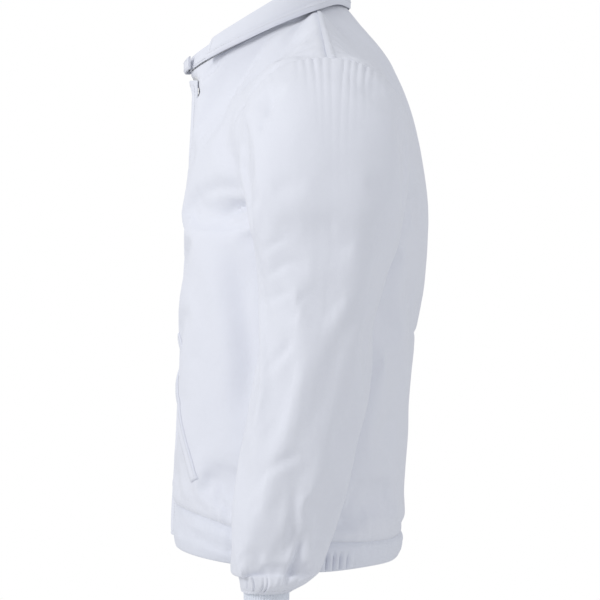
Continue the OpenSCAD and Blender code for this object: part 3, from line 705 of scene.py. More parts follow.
def bodyFolds(p, surface, way, side, seed):
    # how far the padded cloth stands out of its plain shape
    d = {k: surface[k] for k in ("fromLow", "fromRight", "fromTop", "fromLeft")}
    look = bodyLook
    mirroredPlace = p * np.array([side, 1, 1])
    fold = look["drapeHeight"] * softNoise(mirroredPlace, look["drapeSize"], seed)
    fold += look["lumpHeight"] * softNoise(mirroredPlace, look["lumpSize"], seed + 3)
    calm = ease(d["fromLow"] / 40) * ease(d["fromRight"] / 40) * ease(d["fromTop"] / 40)
    if way < 0:
        calm = calm * ease(d["fromLeft"] / 45)
    fold = (fold - look["slim"][0 if way < 0 else 1]) * calm
    fold += look["overBand"] * bell((d["fromLow"] - 26) / 20) * ease(d["fromLow"] / 14)
    creases = look["frontCreases"] if way < 0 else look["backCreases"]
    # the right half has the same creases, shifted and shallower
    shift, share = (np.zeros(3), 1) if side > 0 else (np.array(look["rightShift"]), look["rightShare"])
    for crease in creases:
        fold += creaseOffset(p + shift, crease) * ease(d["fromRight"] / 9) * share
    sideAlong, hemAlong = surface["along"][:, -1:], surface["across"][:1]

    def gathers(name, seam, along, number):
        return puckers(d[seam], along + 0 * p[..., 0], *look[name], seed + number)
    below = 1 - ease((surface["rows"][:, None] - 0.97) / 0.06)
    fromEnds = ease(d["fromLow"] / 12) * ease(d["fromTop"] / 12)
    for share, name in ((below * fromEnds, "sidePuckers"), ((1 - below) * fromEnds, "holePuckers")):
        fold += share * gathers(name, "fromRight", sideAlong, 5)
    fold += gathers("hemPuckers", "fromLow", hemAlong, 7) * ease(d["fromRight"] / 12)
    fold += gathers("topPuckers", "fromTop", surface["across"][-1:], 9)
    seams = ["fromLow", "fromRight", "fromTop"]
    if way < 0:
        fold += gathers("zipPuckers", "fromLeft", surface["along"][:, :1], 11) * fromEnds
        seams.append("fromLeft")
    fold += seamHollow(d["fromRight"], *look["holeHollow"][0 if way < 0 else 1]) * (1 - below) * fromEnds
    if way > 0:  # the back laps over the front along the shoulder
        onShoulder = ease((surface["columns"][None] - cut["backCorner"]) / 0.05)
        fold += look["shoulderLap"] * (1 - ease((d["fromTop"] - 6) / 3)) * onShoulder
    # painted shade and wear: a mask that darkens the colour along each seam of the panel
    shadeAndWear = 0
    for name in seams:
        fold += seamHollow(d[name])
        shadeAndWear = np.maximum(shadeAndWear, bell(d[name] / 4))
    return fold, shadeAndWear


def placeLayers(p, outward, fold, drift):
    return p + outward * fold[..., None] + drift


def keepClear(p):
    # the side stays behind the sleeve that hangs against it
    limit = cut["chestHalfW"] + cut["sideOut"]
    p[..., 0] = np.clip(p[..., 0], -limit, limit)
    return p


makeStudio()
print("studio and finishes ready")


# cloth simulation: the padded cloth is given more room than its seams allow, and it settles

settle = {
    "bodyRows": 54, "frontColumns": 34, "backColumns": 66, "sleeveRows": 64, "sleeveColumns": 60,
    "frames": 16, "growth": -0.035, "pressure": 0.9, "gravity": 0.05, "bending": 1.2, "cap": 8.0,
    "blurReach": 9, "strength": 1.0, "swellShare": 0.15,
    "quality": 5, "weight": 0.25, "airDrag": 2, "stretch": 12, "shear": 4, "sewnWithin": 0.05,
}


def settleCloth(name, verts, faces, pinned):
    scene = bpy.context.scene
    mesh = bpy.data.meshes.new(name)
    mesh.from_pydata((verts * mm).tolist(), [], faces.tolist())
    sheet = bpy.data.objects.new(name, mesh)
    scene.collection.objects.link(sheet)
    group = sheet.vertex_groups.new(name="pinned")
    for level in np.unique(pinned):
        if level > 0:
            group.add(np.flatnonzero(pinned == level).tolist(), float(level), "REPLACE")
    cloth = sheet.modifiers.new("settle", "CLOTH")
    rules = cloth.settings
    rules.quality, rules.mass, rules.air_damping = settle["quality"], settle["weight"], settle["airDrag"]
    rules.tension_stiffness = rules.compression_stiffness = settle["stretch"]
    rules.shear_stiffness, rules.bending_stiffness = settle["shear"], settle["bending"]
    rules.vertex_group_mass, rules.pin_stiffness = "pinned", 1
    rules.shrink_min = settle["growth"]
    rules.use_pressure, rules.uniform_pressure_force = True, settle["pressure"]
    rules.effector_weights.gravity = settle["gravity"]
    cloth.collision_settings.use_collision = False
    cloth.collision_settings.use_self_collision = False
    cloth.point_cache.frame_start, cloth.point_cache.frame_end = 1, settle["frames"]
    for number in range(1, settle["frames"] + 1):
        scene.frame_set(number)
    settled = sheet.evaluated_get(bpy.context.evaluated_depsgraph_get())
    moved = np.empty(len(verts) * 3)
    settled.data.vertices.foreach_get("co", moved)
    moved = moved.reshape(-1, 3) / mm - verts
    bpy.data.objects.remove(sheet)
    scene.frame_set(1)
    return moved


def withoutSwelling(moved, wrap=False):
    # keeps the wrinkles and a share of the pillowing, and takes the overall swelling away
    def blurred(values, axis, reach, ring):
        kernel = np.hanning(2 * reach + 3)[1:-1]
        kernel /= kernel.sum()
        pads = [(0, 0)] * 3
        pads[axis] = (reach, reach)
        wide = np.pad(values, pads, "wrap" if ring else "reflect")
        return sum(k * wide.take(np.arange(n, n + values.shape[axis]), axis) for n, k in enumerate(kernel))
    broad = blurred(blurred(moved, 0, settle["blurReach"], False), 1, settle["blurReach"], wrap)
    kept = (moved - broad) * settle["strength"] + broad * settle["swellShare"]
    size = np.linalg.norm(kept, axis=-1, keepdims=True)
    return kept * (settle["cap"] * np.tanh(size / settle["cap"]) / np.maximum(size, 1e-9))


def refine(coarse, rows, columns, newRows, newColumns):
    # a coarse grid of moves, read smoothly at the fine grid's rows and columns
    def along(values, old, new):
        place = np.interp(new, old, np.arange(len(old)))
        i = np.clip(place.astype(int), 0, len(old) - 2)
        f = (place - i)[:, None, None]
        before, after = np.maximum(i - 1, 0), np.minimum(i + 2, len(old) - 1)
        return between(values[before], values[i], values[i + 1], values[after], f)
    step = along(coarse, rows, newRows)
    return along(step.transpose(1, 0, 2), columns, newColumns).transpose(1, 0, 2)


def mirrorX(p):
    return p * np.array([-1, 1, 1])


def backBoth(half):
    return np.concatenate([mirrorX(half[:, :0:-1]), half], 1)


def settleBody():
    rows = np.linspace(0, 2, settle["bodyRows"])
    columns = np.linspace(0, 1, settle["frontColumns"])
    halfColumns = np.linspace(0, 1, settle["backColumns"] // 2)
    left = frontPoint(rows[:, None], columns[None])
    back = backBoth(bodyPoint(rows[:, None], halfColumns[None], 1))
    backAxis = np.concatenate([-halfColumns[:0:-1], halfColumns])
    grids = [left, mirrorX(left), back]
    verts, faces, pinned, base = [], [], [], 0
    for k, g in enumerate(grids):
        hold = np.zeros(g.shape[:2])
        hold[0], hold[-1] = 1, 1
        above = rows >= 1
        hold[above, -1] = 1
        if k == 2:
            hold[above, 0] = 1
        else:
            hold[:, 0] = 1
        verts.append(g.reshape(-1, 3))
        pinned.append(hold.ravel())
        faces.append(gridFaces(g.shape[0], g.shape[1], False, base, k != 0))
        base += g.shape[0] * g.shape[1]
    verts, pinned, faces = np.concatenate(verts), np.concatenate(pinned), np.concatenate(faces)
    # sew the fronts to the back along the side seams
    keys = np.round(verts / settle["sewnWithin"]).astype(int)
    _, first, same = np.unique(keys, axis=0, return_index=True, return_inverse=True)
    same = same.ravel()
    moved = settleCloth("body_settling", verts[first], same[faces], pinned[first])[same]
    result, start = [], 0
    for k, g in enumerate(grids):
        count = g.shape[0] * g.shape[1]
        kept = withoutSwelling(moved[start:start + count].reshape(g.shape))
        # sewn edges stay where they are, and the front edge stays straight along the zip
        axis = columns if k < 2 else backAxis
        free = ease(np.minimum(rows, 2 - rows) / 0.1)[:, None] * ease((1 - np.abs(axis)) / 0.1)[None]
        kept *= free[..., None]
        if k < 2:
            kept *= ease(columns / 0.12)[None, :, None]
        result.append((kept, rows, columns if k < 2 else backAxis))
        start += count
    return result


print("settling the body cloth")
bodyMoves = settleBody()


# body panels

def dressed(surface, shadeAndWear):
    surface["shadeAndWear"] = shadeAndWear
    surface["thread"] = np.stack([surface["across"], surface["along"]], -1)
    return surface


def finePanel(plain, side, moves, seed):
    outward = -inward(plain)
    surface = makeSurface(plain, outward, frontRows, frontColumns)
    fold, shadeAndWear = bodyFolds(plain, surface, -1, side, seed)
    drift = refine(*moves, frontRows, frontColumns)
    surface["points"] = keepClear(placeLayers(plain, outward, fold, drift))
    return dressed(surface, shadeAndWear)


def layer(surface, depth):
    return surface["points"] - surface["out"] * depth


def addLayers(surface, names, body="jacket", blend=None, wrap=False):
    # outer cloth, wadding and lining of one panel, each its own piece
    # ending of the name, depth, thickness, finish, slot
    plies = (("_cloth", 0, cut["shell"], "shell", "shell_cloth"),
             ("_pad", cut["waddingIn"], cut["wadding"], "wadding", "wadding"),
             ("_cloth", cut["liningIn"], cut["lining"], "lining", "lining_cloth"))
    for name, (ending, depth, thick, finish, slot) in zip(names, plies):
        ply = addSlab(name + ending, layer(surface, depth), layer(surface, depth + thick), finish, wrap,
                      surface["thread"], surface["shadeAndWear"], body=body, slot=slot, stands=(name,), blend=blend)


surfaces = {}
frontPlain = frontPoint(frontRows[:, None], frontColumns[None])
for (side, hand), moves, seed in zip(hands, bodyMoves, (11, 31)):
    plain = frontPlain if side > 0 else mirrorX(frontPlain)
    surfaces["front_" + hand] = finePanel(plain, side, moves, seed)
    names = ["front_" + part + "_" + hand for part in ("panel", "wadding", "lining")]
    addLayers(surfaces["front_" + hand], names)

backHalf = bodyPoint(backRows[:, None], backColumns[None], 1)


def makeBack():
    # the back is one piece; its two halves have folds of their own
    outwardHalf = -inward(backHalf)
    halves = []
    for side, seed in ((-1, 71), (1, 51)):
        surface = makeSurface(backHalf, outwardHalf, backRows, backColumns)
        fold, shadeAndWear = bodyFolds(backHalf, surface, 1, side, seed)
        halves.append((fold, shadeAndWear))
    middle = ease(backColumns / 0.16)[None]
    joined = (halves[0][0] + halves[1][0]) / 2
    fold = np.concatenate([mix(joined, halves[0][0], middle)[:, :0:-1], mix(joined, halves[1][0], middle)], 1)
    shadeAndWear = np.concatenate([halves[0][1][:, :0:-1], halves[1][1]], 1)
    plain, outward = backBoth(backHalf), backBoth(outwardHalf)
    columns = np.concatenate([-backColumns[:0:-1], backColumns])
    surface = makeSurface(plain, outward, backRows, columns)
    drift = refine(*bodyMoves[2], backRows, columns)
    surface["points"] = keepClear(placeLayers(plain, outward, fold, drift))
    return dressed(surface, shadeAndWear)


surfaces["back"] = makeBack()
addLayers(surfaces["back"], ("back_panel", "back_wadding", "back_lining"))
print("body panels made")


# sleeves

sleeve = {
    "fan": 125, "end": 492,
    "width": [[0, 194], [25, 178.8], [50, 165.9], [75, 153.6], [100, 141.7], [125, 130], [189, 124],
              [295, 119], [402, 113], [465, 100], [481, 90], [492, 72]],
    "centre": [[0, 65], [125, 67], [189, 62], [295, 46], [402, 26], [465, 13], [481, 11.5], [492, 4]],
    "halfDepth": [[0, 90], [125, 76], [189, 62.5], [295, 60], [402, 55.5], [465, 46], [481, 36], [492, 26.5]],
    "innerX": [[0, 225.5], [125, 225.5], [189, 227.5], [295, 227.5], [402, 228.5], [465, 234.5],
               [492, 250.5]],
    "crowding": 34.4, "crowdedAt": 126, "headPitch": 9.4, "headHeight": 4.8, "headReach": (30, 88),
    "headMiddle": 98, "headWide": 26,
    "seamPuckers": (11, 16, 1.0), "headPuff": 2.4, "seamPuff": 1.6,
    "ruffles": 31, "ruffleHeight": 2.6, "ruffleReach": 6, "endFolds": 9, "endHeight": 3.0, "endReach": 26,
    "endPuff": 0.8, "drapeHeight": 2.4, "drapeSize": (48, 48, 130), "lumpHeight": 1.3,
    "lumpSize": (30, 30, 34), "seamHollow": (1.5, 3.0, 0.8), "seamRoll": 2.0, "seamTuckIn": 1.4,
    "innerFlat": -0.8, "innerGap": 1.2, "headCalm": 0.85, "rightShare": 0.8, "endStitchIn": 3.5,
    "creases": [
        {"route": [[0, -381], [14, -364], [30, -348]], "width": 6, "depth": 2.6},
        {"route": [[2, -484], [20, -472], [40, -463]], "width": 6, "depth": 2.6},
        {"route": [[0, -258], [12, -250], [26, -244]], "width": 4.5, "depth": 1.8},
        {"route": [[2, -284], [16, -275], [32, -270]], "width": 4.5, "depth": 1.8},
        {"route": [[1, -311], [14, -303], [30, -298]], "width": 4.5, "depth": 1.6},
        {"route": [[36, -492], [32, -530], [29, -572]], "width": 6, "depth": 2.8},
        {"route": [[44, -546], [36, -572], [24, -604]], "width": 5, "depth": 7.0},
        {"route": [[78, -110], [80, -250], [76, -412], [58, -560]], "width": 20, "depth": 3.0, "lip": 0.2},
        {"route": [[108, -300], [92, -330], [80, -352]], "width": 8, "depth": 1.8},
        {"route": [[98, -420], [84, -442], [70, -456]], "width": 7, "depth": 1.6},
    ],
}
sleeveRows = sleeve["end"] * closeEnds(170, 0.45)
# the columns of the sleeve stand closest together over the gathered head
sleeveTurns = np.linspace(0, 360, 208, endpoint=False)
crowdedAt = sleeve["crowdedAt"]
sleeveTurns = sleeveTurns - sleeve["crowding"] * (sind(sleeveTurns - crowdedAt) + sind(crowdedAt))


def sleevePoint(k, a):
    lean = 90 * np.clip(k / sleeve["fan"], 0, 1)
    along = -np.maximum(0, k - sleeve["fan"]) + cut["armholeFootZ"]
    width = smoothCurve(sleeve["width"], k)
    across, away = signedPower(sind(a), cut["holeRound"]), signedPower(cosd(a), cut["holeRound"])
    v = width * (1 + across) / 2
    y = smoothCurve(sleeve["centre"], k) - smoothCurve(sleeve["halfDepth"], k) * away
    p = point(smoothCurve(sleeve["innerX"], k) + v * sind(lean), y, along + v * cosd(lean))
    outward = unit(point(across * sind(lean), -away, across * cosd(lean)))
    return p, outward


def settleSleeve(seed):
    rows = sleeve["end"] * np.linspace(0, 1, settle["sleeveRows"])
    turns = np.linspace(0, 360, settle["sleeveColumns"], endpoint=False)
    k, a = np.meshgrid(rows, turns, indexing="ij")
    plain, outward = sleevePoint(k, a)
    around = np.linspace(0, 360, settle["sleeveColumns"] + 1)
    start = plain + outward * softNoise(plain, (30, 30, 44), seed)[..., None] * 1.5
    pinned = np.zeros(plain.shape[:2])
    pinned[0], pinned[-1] = 1, 1
    faces = gridFaces(len(rows), len(turns), True)
    moved = settleCloth("sleeve_settling", start.reshape(-1, 3), faces, pinned.ravel())
    moved = withoutSwelling(moved.reshape(plain.shape) + (start - plain) * (pinned == 0)[..., None], True)
    moved *= ease(np.minimum(rows, rows[-1] - rows) / 26)[:, None, None]
    return np.concatenate([moved, moved[:, :1]], 1), rows, around


def sleeveFolds(p, surface, outward, turns, seed, share):
    look = sleeve
    fromSeam, fromCuff = surface["fromLow"], surface["fromTop"]
    a = turns[None] + 0 * fromSeam
    calm = ease(fromSeam / 40) * ease(fromCuff / 50)
    fold = look["drapeHeight"] * softNoise(p, look["drapeSize"], seed) * calm
    fold += look["lumpHeight"] * softNoise(p + p[..., [2, 0, 1]] * 0.5, look["lumpSize"], seed + 3) * calm
    outside = ease(outward[..., 0] / 0.35)
    for crease in look["creases"]:
        fold += creaseOffset(p, crease) * outside * ease(fromSeam / 30) * share
    seamAlong = surface["across"][:1] + 0 * fromSeam
    # gathers over the head: round tubes with sharp valleys, longest in the middle
    top = bell((a - look["headMiddle"]) / look["headWide"])
    drift = softNoise(point(seamAlong, fromSeam * 0.35, 0), (17, 60, 1), seed + 5)
    deep = np.clip(0.85 + 0.7 * softNoise(point(seamAlong, 0, 5), (15, 1, 1), seed + 4), 0.45, 1.5)
    tubes = np.abs(np.sin(pi * seamAlong / look["headPitch"] + 1.9 * drift)) ** 0.6 - 0.85
    reach = mix(*look["headReach"], bell((a - look["headMiddle"]) / 15))
    fade = np.exp(-(fromSeam / reach) ** 1.4) * (1 - np.exp(-fromSeam / 2))
    fold += look["headHeight"] * top * deep * tubes * fade
    fold += look["seamPuff"] * bell((fromSeam - 9) / 7)
    fold += (1 - 0.7 * top) * puckers(fromSeam, seamAlong, *look["seamPuckers"], seed + 6)
    raised = ease((sind(a) + 0.2) / 1.2)
    fold += look["headPuff"] * raised * bell((fromSeam - 20) / 22) * ease(fromSeam / 12)
    wobble = softNoise(point(a / 9, fromCuff / 40, 0), 1, seed + 8)
    ruffle = np.abs(np.sin(np.radians(a) * look["ruffles"] / 2 + 1.3 * wobble)) ** 0.55 - 1
    size = 0.8 + 0.5 * softNoise(point(a / 14, 0, 3), 1, seed + 12)
    nearCuff = np.exp(-fromCuff / look["ruffleReach"]) * ease(fromCuff / 2)
    fold += look["ruffleHeight"] * size * ruffle * nearCuff
    broad = np.abs(np.sin(np.radians(a) * look["endFolds"] / 2 + 1.8 * wobble + 0.6)) ** 0.8 - 1
    fold += look["endHeight"] * broad * np.exp(-(fromCuff / look["endReach"]) ** 2) * ease(fromCuff / 8)
    fold += look["endPuff"] * bell((fromCuff - 22) / 16)
    # the sleeve rolls down into its seam, least of all at the shoulder
    fold += seamHollow(fromSeam, *look["seamHollow"])
    fold -= look["seamRoll"] * (1 - bell((a - 90) / 20)) * bell(fromSeam / 4.5)
    inner = bell(np.minimum(np.abs(a - 270), 360) / 26)
    fold += inner * (look["innerFlat"] - np.maximum(fold, 0))  # the side against the body stays flat
    fold += seamHollow((np.abs(a - 262) / 360) * surface["across"][:, -1:], 0.8, 2.6, 0.3)
    # painted shade and wear: darker colour along the armhole seam and at the end over the cuff
    shadeAndWear = np.maximum(bell(fromSeam / 4), 0.7 * bell(fromCuff / 6))
    return fold, shadeAndWear


def makeSleeve(hand, seed, moves, share):
    k, a = np.meshgrid(sleeveRows, sleeveTurns, indexing="ij")
    plain, outward = sleevePoint(k, a)
    surface = makeSurface(plain, outward, sleeveRows, sleeveTurns)
    fold, shadeAndWear = sleeveFolds(plain, surface, outward, sleeveTurns, seed, share)
    drift = refine(*moves, sleeveRows, sleeveTurns)
    against = bell((a - 270) / 30)[..., None]
    head = bell((a - 105) / 45) * (1 - ease((k - 40) / 70))
    drift = drift * (1 - against) * (1 - sleeve["headCalm"] * head)[..., None]
    p = placeLayers(plain, outward, fold, drift)
    p[..., 0] -= sleeve["seamTuckIn"] * bell(surface["fromLow"] / 4)
    p[..., 0] = np.maximum(p[..., 0], np.minimum(plain[..., 0] - sleeve["innerGap"], cut["chestHalfW"] + 2))
    if hand == "right":
        p, surface["out"] = mirrorX(p), mirrorX(outward)
    surface["points"] = p
    return dressed(surface, shadeAndWear)


# the line below the armpit about which a sleeve would bend, the head above it staying sewn to the body; the
# sleeve pieces are given it, which only keeps them unparented where they are
bendAcross, bendStart, bendLength = Vector((0.447, 0, -0.894)), cut["armholeFootZ"] * mm, 0.135


def sleeveBend(side):
    across = Vector((bendAcross.x * side, 0, bendAcross.z))
    start = Vector((side * cut["chestHalfW"] * mm, 0.05, bendStart))
    return tuple(start), tuple(start + across * bendLength)


print("settling the sleeves")
for (side, hand), seed, settleSeed, share in zip(hands, (101, 141), (5, 6), (1, sleeve["rightShare"])):
    surfaces["sleeve_" + hand] = makeSleeve(hand, seed, settleSleeve(settleSeed), share)
    names = [part + hand for part in ("sleeve_", "sleeve_wadding_", "sleeve_lining_")]
    addLayers(surfaces["sleeve_" + hand], names, "sleeve_" + hand, sleeveBend(side), True)
print("sleeves made")


# knitted cuffs

cuff = {"ribs": 50, "ribHeight": 0.75, "stepsPerRib": 6, "levels": 46, "wall": 3.2, "waist": 0.9,
        "inset": 0.4, "foldedEdge": 1.3}


def makeCuff(side, hand):
    low, high = cuffLow / mm, cuffHigh / mm
    midX, midY = (low.x + high.x) / 2, (low.y + high.y) / 2
    rx, ry = (high.x - low.x) / 2 - cuff["inset"], (high.y - low.y) / 2 - cuff["inset"]
    turns = np.linspace(0, 2 * pi, cuff["ribs"] * cuff["stepsPerRib"], endpoint=False)
    # down the outside, round the folded edge and up the inside
    q = np.linspace(0, 1, cuff["levels"])
    outsideZ = mix(high.z, low.z, q)
    narrow = cuff["waist"] * np.sin(pi * q)
    edge = cuff["foldedEdge"] * ease((q - 0.93) / 0.07) ** 2
    z = outsideZ[:, None] + 0 * turns[None]
    rib = cuff["ribHeight"] * (np.abs(np.cos(turns * cuff["ribs"] / 2)) ** 0.8 - 0.5)[None]
    rib = rib * (1 - 0.5 * ease((q[:, None] - 0.95) / 0.05))

    def ring(depth, ribs):
        shrink = narrow[:, None] + edge[:, None] * (1 if ribs > 0 else -0.6) + depth - ribs * rib
        p = point(midX - (rx - shrink) * np.cos(turns)[None], midY - (ry - shrink) * np.sin(turns)[None], z)
        return p * np.array([side, 1, 1])

    outer, inner = ring(0, 1), ring(cuff["wall"] - 0.6, -0.4)
    length = np.stack([turns[None] * (rx + ry) / 2 + 0 * z, z], -1)
    piece = addSlab("knit_cuff_" + hand + "_rib", outer, inner, "knit", True, length, None,
                    body="sleeve_" + hand, slot="rib_knit", stands=("knit_cuff_" + hand,), sharp=80)


for side, hand in hands:
    makeCuff(side, hand)
print("cuffs made")


# waistband

band = {"from": 2.6, "sideFrom": 72, "sideTo": 116, "joint": 0.04, "out": 1.2, "thick": 7, "swell": 2.0,
        "slices": 52, "gathers": 13, "gatherHeight": 6.0, "foldHeight": 1.5, "hollow": 3.0,
        "overHeight": 1.4, "topDrop": -1.8, "casingTop": 0.22, "creaseLevel": 0.56}


def tuck(share, count, wobble=0):
    # round tubes of cloth with sharp valleys between them, 0 at the top of each tube
    return 1 - np.abs(np.sin(pi * count * share + wobble)) ** 0.6


def bandRing(angles, side, seed, gathered=False):
    # a padded strip: each slice is a flattened ring round its wadding
    q = np.linspace(0, 2 * pi, band["slices"], endpoint=False)
    a, q = np.meshgrid(angles, q, indexing="ij")
    height = cut["bandHeight"] + band["overHeight"]
    drop = band["topDrop"] + height / 2 * (1 - signedPower(np.cos(q), 0.6))
    level = drop / cut["bandHeight"]
    outside = np.sin(q) > 0
    half = band["thick"] / 2
    swell = band["out"] + band["swell"] * np.sin(pi * np.clip(level, 0, 1))
    place = hemPoint(a, drop, swell - half + half * signedPower(np.sin(q), 0.55))
    run = runLengths(hemPoint(a, drop * 0, 0), 0)
    ends = ease(run / 5) * ease((run[-1:] - run) / 5)
    if gathered:
        wobble = 1.1 * softNoise(point(run / 16, 0, 0), 1, seed)
        fold = 1.0 - band["gatherHeight"] * tuck(run / run[-1:], band["gathers"], wobble)
        fold = fold * ease((level - band["casingTop"]) / 0.3) * ends * ease((1.02 - run / run[-1:]) / 0.2)
    else:
        fold = band["foldHeight"] * softNoise(point(run, drop * 1.5, 0), (24, 17, 1), seed) * ends
        fold += puckers(drop, run, 11, 12, 0.9, seed + 2)
        line = band["creaseLevel"] + 0.12 * softNoise(point(run, 0, 0), (60, 1, 1), seed + 4)
        deep = np.clip(0.5 + softNoise(point(run, 3, 0), (46, 1, 1), seed + 5), 0, 1)
        fold -= band["hollow"] * bell((level - line) / 0.1) * deep * ends
        fold += 0.8 * bell((level - line - 0.17) / 0.12) * deep * ends
    place = place - inward(place) * (fold * outside * np.abs(np.sin(q)))[..., None]
    # painted shade and wear: darker colour along the band's top and bottom seams
    shadeAndWear = 0.8 * bell(drop / 4) + 0.6 * bell((height - drop) / 4)
    return place * np.array([side, 1, 1]), np.stack([run, drop], -1), shadeAndWear


def addRing(name, ring, finish, **more):
    place, thread, shadeAndWear = ring
    rows, columns = place.shape[:2]
    return addPiece(name, place.reshape(-1, 3), gridFaces(rows, columns, True), finish,
                    thread.reshape(-1, 2), shadeAndWear.ravel(), capped=True, **more)


def makeWaistband():
    for side, hand in hands:
        frontAngles = mix(band["from"], band["sideFrom"] - band["joint"], closeEnds(120, 0.4))
        front = addRing("waistband_front_" + hand + "_pad", bandRing(frontAngles, side, 201 + side), "band",
                        stands=("waistband_front_" + hand,))
        sideAngles = mix(band["sideFrom"] + band["joint"], band["sideTo"] - band["joint"],
                         closeEnds(170, 0.1))
        casing = addRing("waistband_side_" + hand + "_casing", bandRing(sideAngles, side, 221 + side, True),
                         "band", stands=("waistband_side_" + hand,))
    half = mix(180, band["sideTo"] + band["joint"], closeEnds(120, 0.3))
    left, right = bandRing(half, 1, 241), bandRing(half, -1, 243)
    fade = (ease((180 - half) / 12))[:, None]
    mean = (left[0] + mirrorX(right[0])) / 2
    leftPlace = mix(mean, left[0], fade[..., None])
    rightPlace = mirrorX(mix(mean, mirrorX(right[0]), fade[..., None]))
    place = np.concatenate([rightPlace[:0:-1], leftPlace])
    run = np.concatenate([-right[1][:0:-1, :, :1], left[1][..., :1]])
    thread = np.concatenate([run, np.concatenate([right[1][:0:-1, :, 1:], left[1][..., 1:]])], -1)
    back = addRing("waistband_back_pad", (place, thread, np.concatenate([right[2][:0:-1], left[2]])), "band",
                   stands=("waistband_back",))


makeWaistband()


elastic = {"inset": 6, "outerIn": 2.9, "innerIn": 4.1, "ribHeight": 0.25, "ribPitch": 3}


def makeElastics():
    # the elastic inside each side casing, with its ribs
    for side, hand in hands:
        a, drop = np.meshgrid(mix(band["sideFrom"] + 1, band["sideTo"] - 1, np.linspace(0, 1, 120)),
                              np.linspace(elastic["inset"], cut["bandHeight"] - elastic["inset"], 45),
                              indexing="ij")
        rib = elastic["ribHeight"] * np.cos(drop * 2 * pi / elastic["ribPitch"])
        outer = hemPoint(a, drop, band["out"] - elastic["outerIn"] + rib) * np.array([side, 1, 1])
        inner = hemPoint(a, drop, band["out"] - elastic["innerIn"] - rib * 0.5) * np.array([side, 1, 1])
        strip = addSlab("side_elastic_" + hand + "_strip", outer, inner, "elastic",
                        thread=np.stack([runLengths(outer, 0), drop], -1), slot="elastic",
                        stands=("side_elastic_" + hand,))


makeElastics()
print("waistband made")


# stitching

stitch = {"pitch": 3.3, "length": 2.5, "width": 0.36, "lift": 0.12, "corners": 6}
stitchLines = {}


def stitchAlong(body, points, outward, pitch=None):
    # thread lies along a line of points, one short rounded stitch after another
    pitch = pitch or stitch["pitch"]
    run = np.concatenate([[0], np.cumsum(np.linalg.norm(np.diff(points, axis=0), axis=1))])
    count = max(int(run[-1] / pitch), 2)
    middle = (np.arange(count) + 0.5) * run[-1] / count

    def at(values, where):
        return np.stack([np.interp(where, run, values[:, n]) for n in range(3)], -1)
    centre, ahead = at(points, middle), at(points, middle + 0.8) - at(points, middle - 0.8)
    ahead, away = unit(ahead), unit(at(outward, middle))
    across = unit(np.cross(away, ahead))
    away = np.cross(ahead, across)
    turns = np.linspace(0, 2 * pi, stitch["corners"], endpoint=False)
    rings = [(-0.5, 0.35, -0.7), (-0.3, 1.0, 0.35), (0.3, 1.0, 0.35), (0.5, 0.35, -0.7)]
    parts = []
    for along, thick, raised in rings:
        for turn in turns:
            offset = (ahead * along * stitch["length"] + across * np.cos(turn) * thick * stitch["width"]
                      + away * (np.sin(turn) * thick * 0.75 + raised * 0.5) * stitch["width"])
            parts.append(centre + offset + away * stitch["lift"])
    stitchLines.setdefault(body, []).append(np.stack(parts, 1))


def sewThread():
    names = {"jacket": "topstitching_body", "flap": "topstitching_flap", "throat_tab": "topstitching_tab",
             "sleeve_left": "topstitching_cuff_left", "sleeve_right": "topstitching_cuff_right"}
    ends = [[0, 3, 2, 1], [0, 5, 4, 3], [18, 19, 20, 21], [18, 21, 22, 23]]
    single = np.concatenate([gridFaces(4, 6, True), ends])
    for body, lines in stitchLines.items():
        stitches = np.concatenate(lines)
        count = len(stitches)
        faces = (single[None] + np.arange(count)[:, None, None] * 24).reshape(-1, 4)
        thread = np.tile(np.stack([np.repeat(np.arange(4) * 0.8, 6), np.tile(np.arange(6) * 0.4, 4)], -1),
                         (count, 1))
        addPiece(names[body], stitches.reshape(-1, 3), faces, "thread", thread, body=body)


def besideEdge(surface, edge, gap, start=0, stop=1):
    # the line on a surface that keeps a set distance from one of its edges
    measure = {"left": surface["fromLeft"], "right": surface["fromRight"],
               "low": surface["fromLow"].T, "top": surface["fromTop"].T}[edge]
    axis = surface["columns"] if edge in ("left", "right") else surface["rows"]
    other = surface["rows"] if edge in ("left", "right") else surface["columns"]
    chosen = np.flatnonzero((other >= other[0] + start * (other[-1] - other[0]) - 1e-9)
                            & (other <= other[0] + stop * (other[-1] - other[0]) + 1e-9))
    where = []
    for line in chosen:
        lengths = measure[line]
        where.append(np.interp(gap, lengths, axis) if lengths[0] < lengths[-1]
                     else np.interp(gap, lengths[::-1], axis[::-1]))
    where = np.array(where)
    pair = (other[chosen], where) if edge in ("left", "right") else (where, other[chosen])
    return spotOn(surface, *pair)


def stitchPanels():
    for hand in ("left", "right"):
        front = surfaces["front_" + hand]
        stitchAlong("jacket", *besideEdge(front, "low", 3))
        stitchAlong("jacket", *besideEdge(front, "left", 4, 0, 0.97))
        stitchAlong("jacket", *besideEdge(front, "right", 5, 0.52, 0.97))
        end = surfaces["sleeve_" + hand]
        row = np.full(len(sleeveTurns), sleeve["end"] - sleeve["endStitchIn"])
        p, out = spotOn(end, row, sleeveTurns)
        stitchAlong("sleeve_" + hand, np.concatenate([p, p[:1]]), np.concatenate([out, out[:1]]))
    back = surfaces["back"]
    stitchAlong("jacket", *besideEdge(back, "low", 3))
    for edge in ("left", "right"):
        stitchAlong("jacket", *besideEdge(back, edge, 5, 0.52, 0.97))
    corner = cut["backCorner"] / 2
    for start, stop in ((0.01, 0.5 - corner), (0.5 + corner, 0.99)):
        stitchAlong("jacket", *besideEdge(back, "top", 7.5, start, stop))


stitchPanels()
print("seams stitched")


# collar

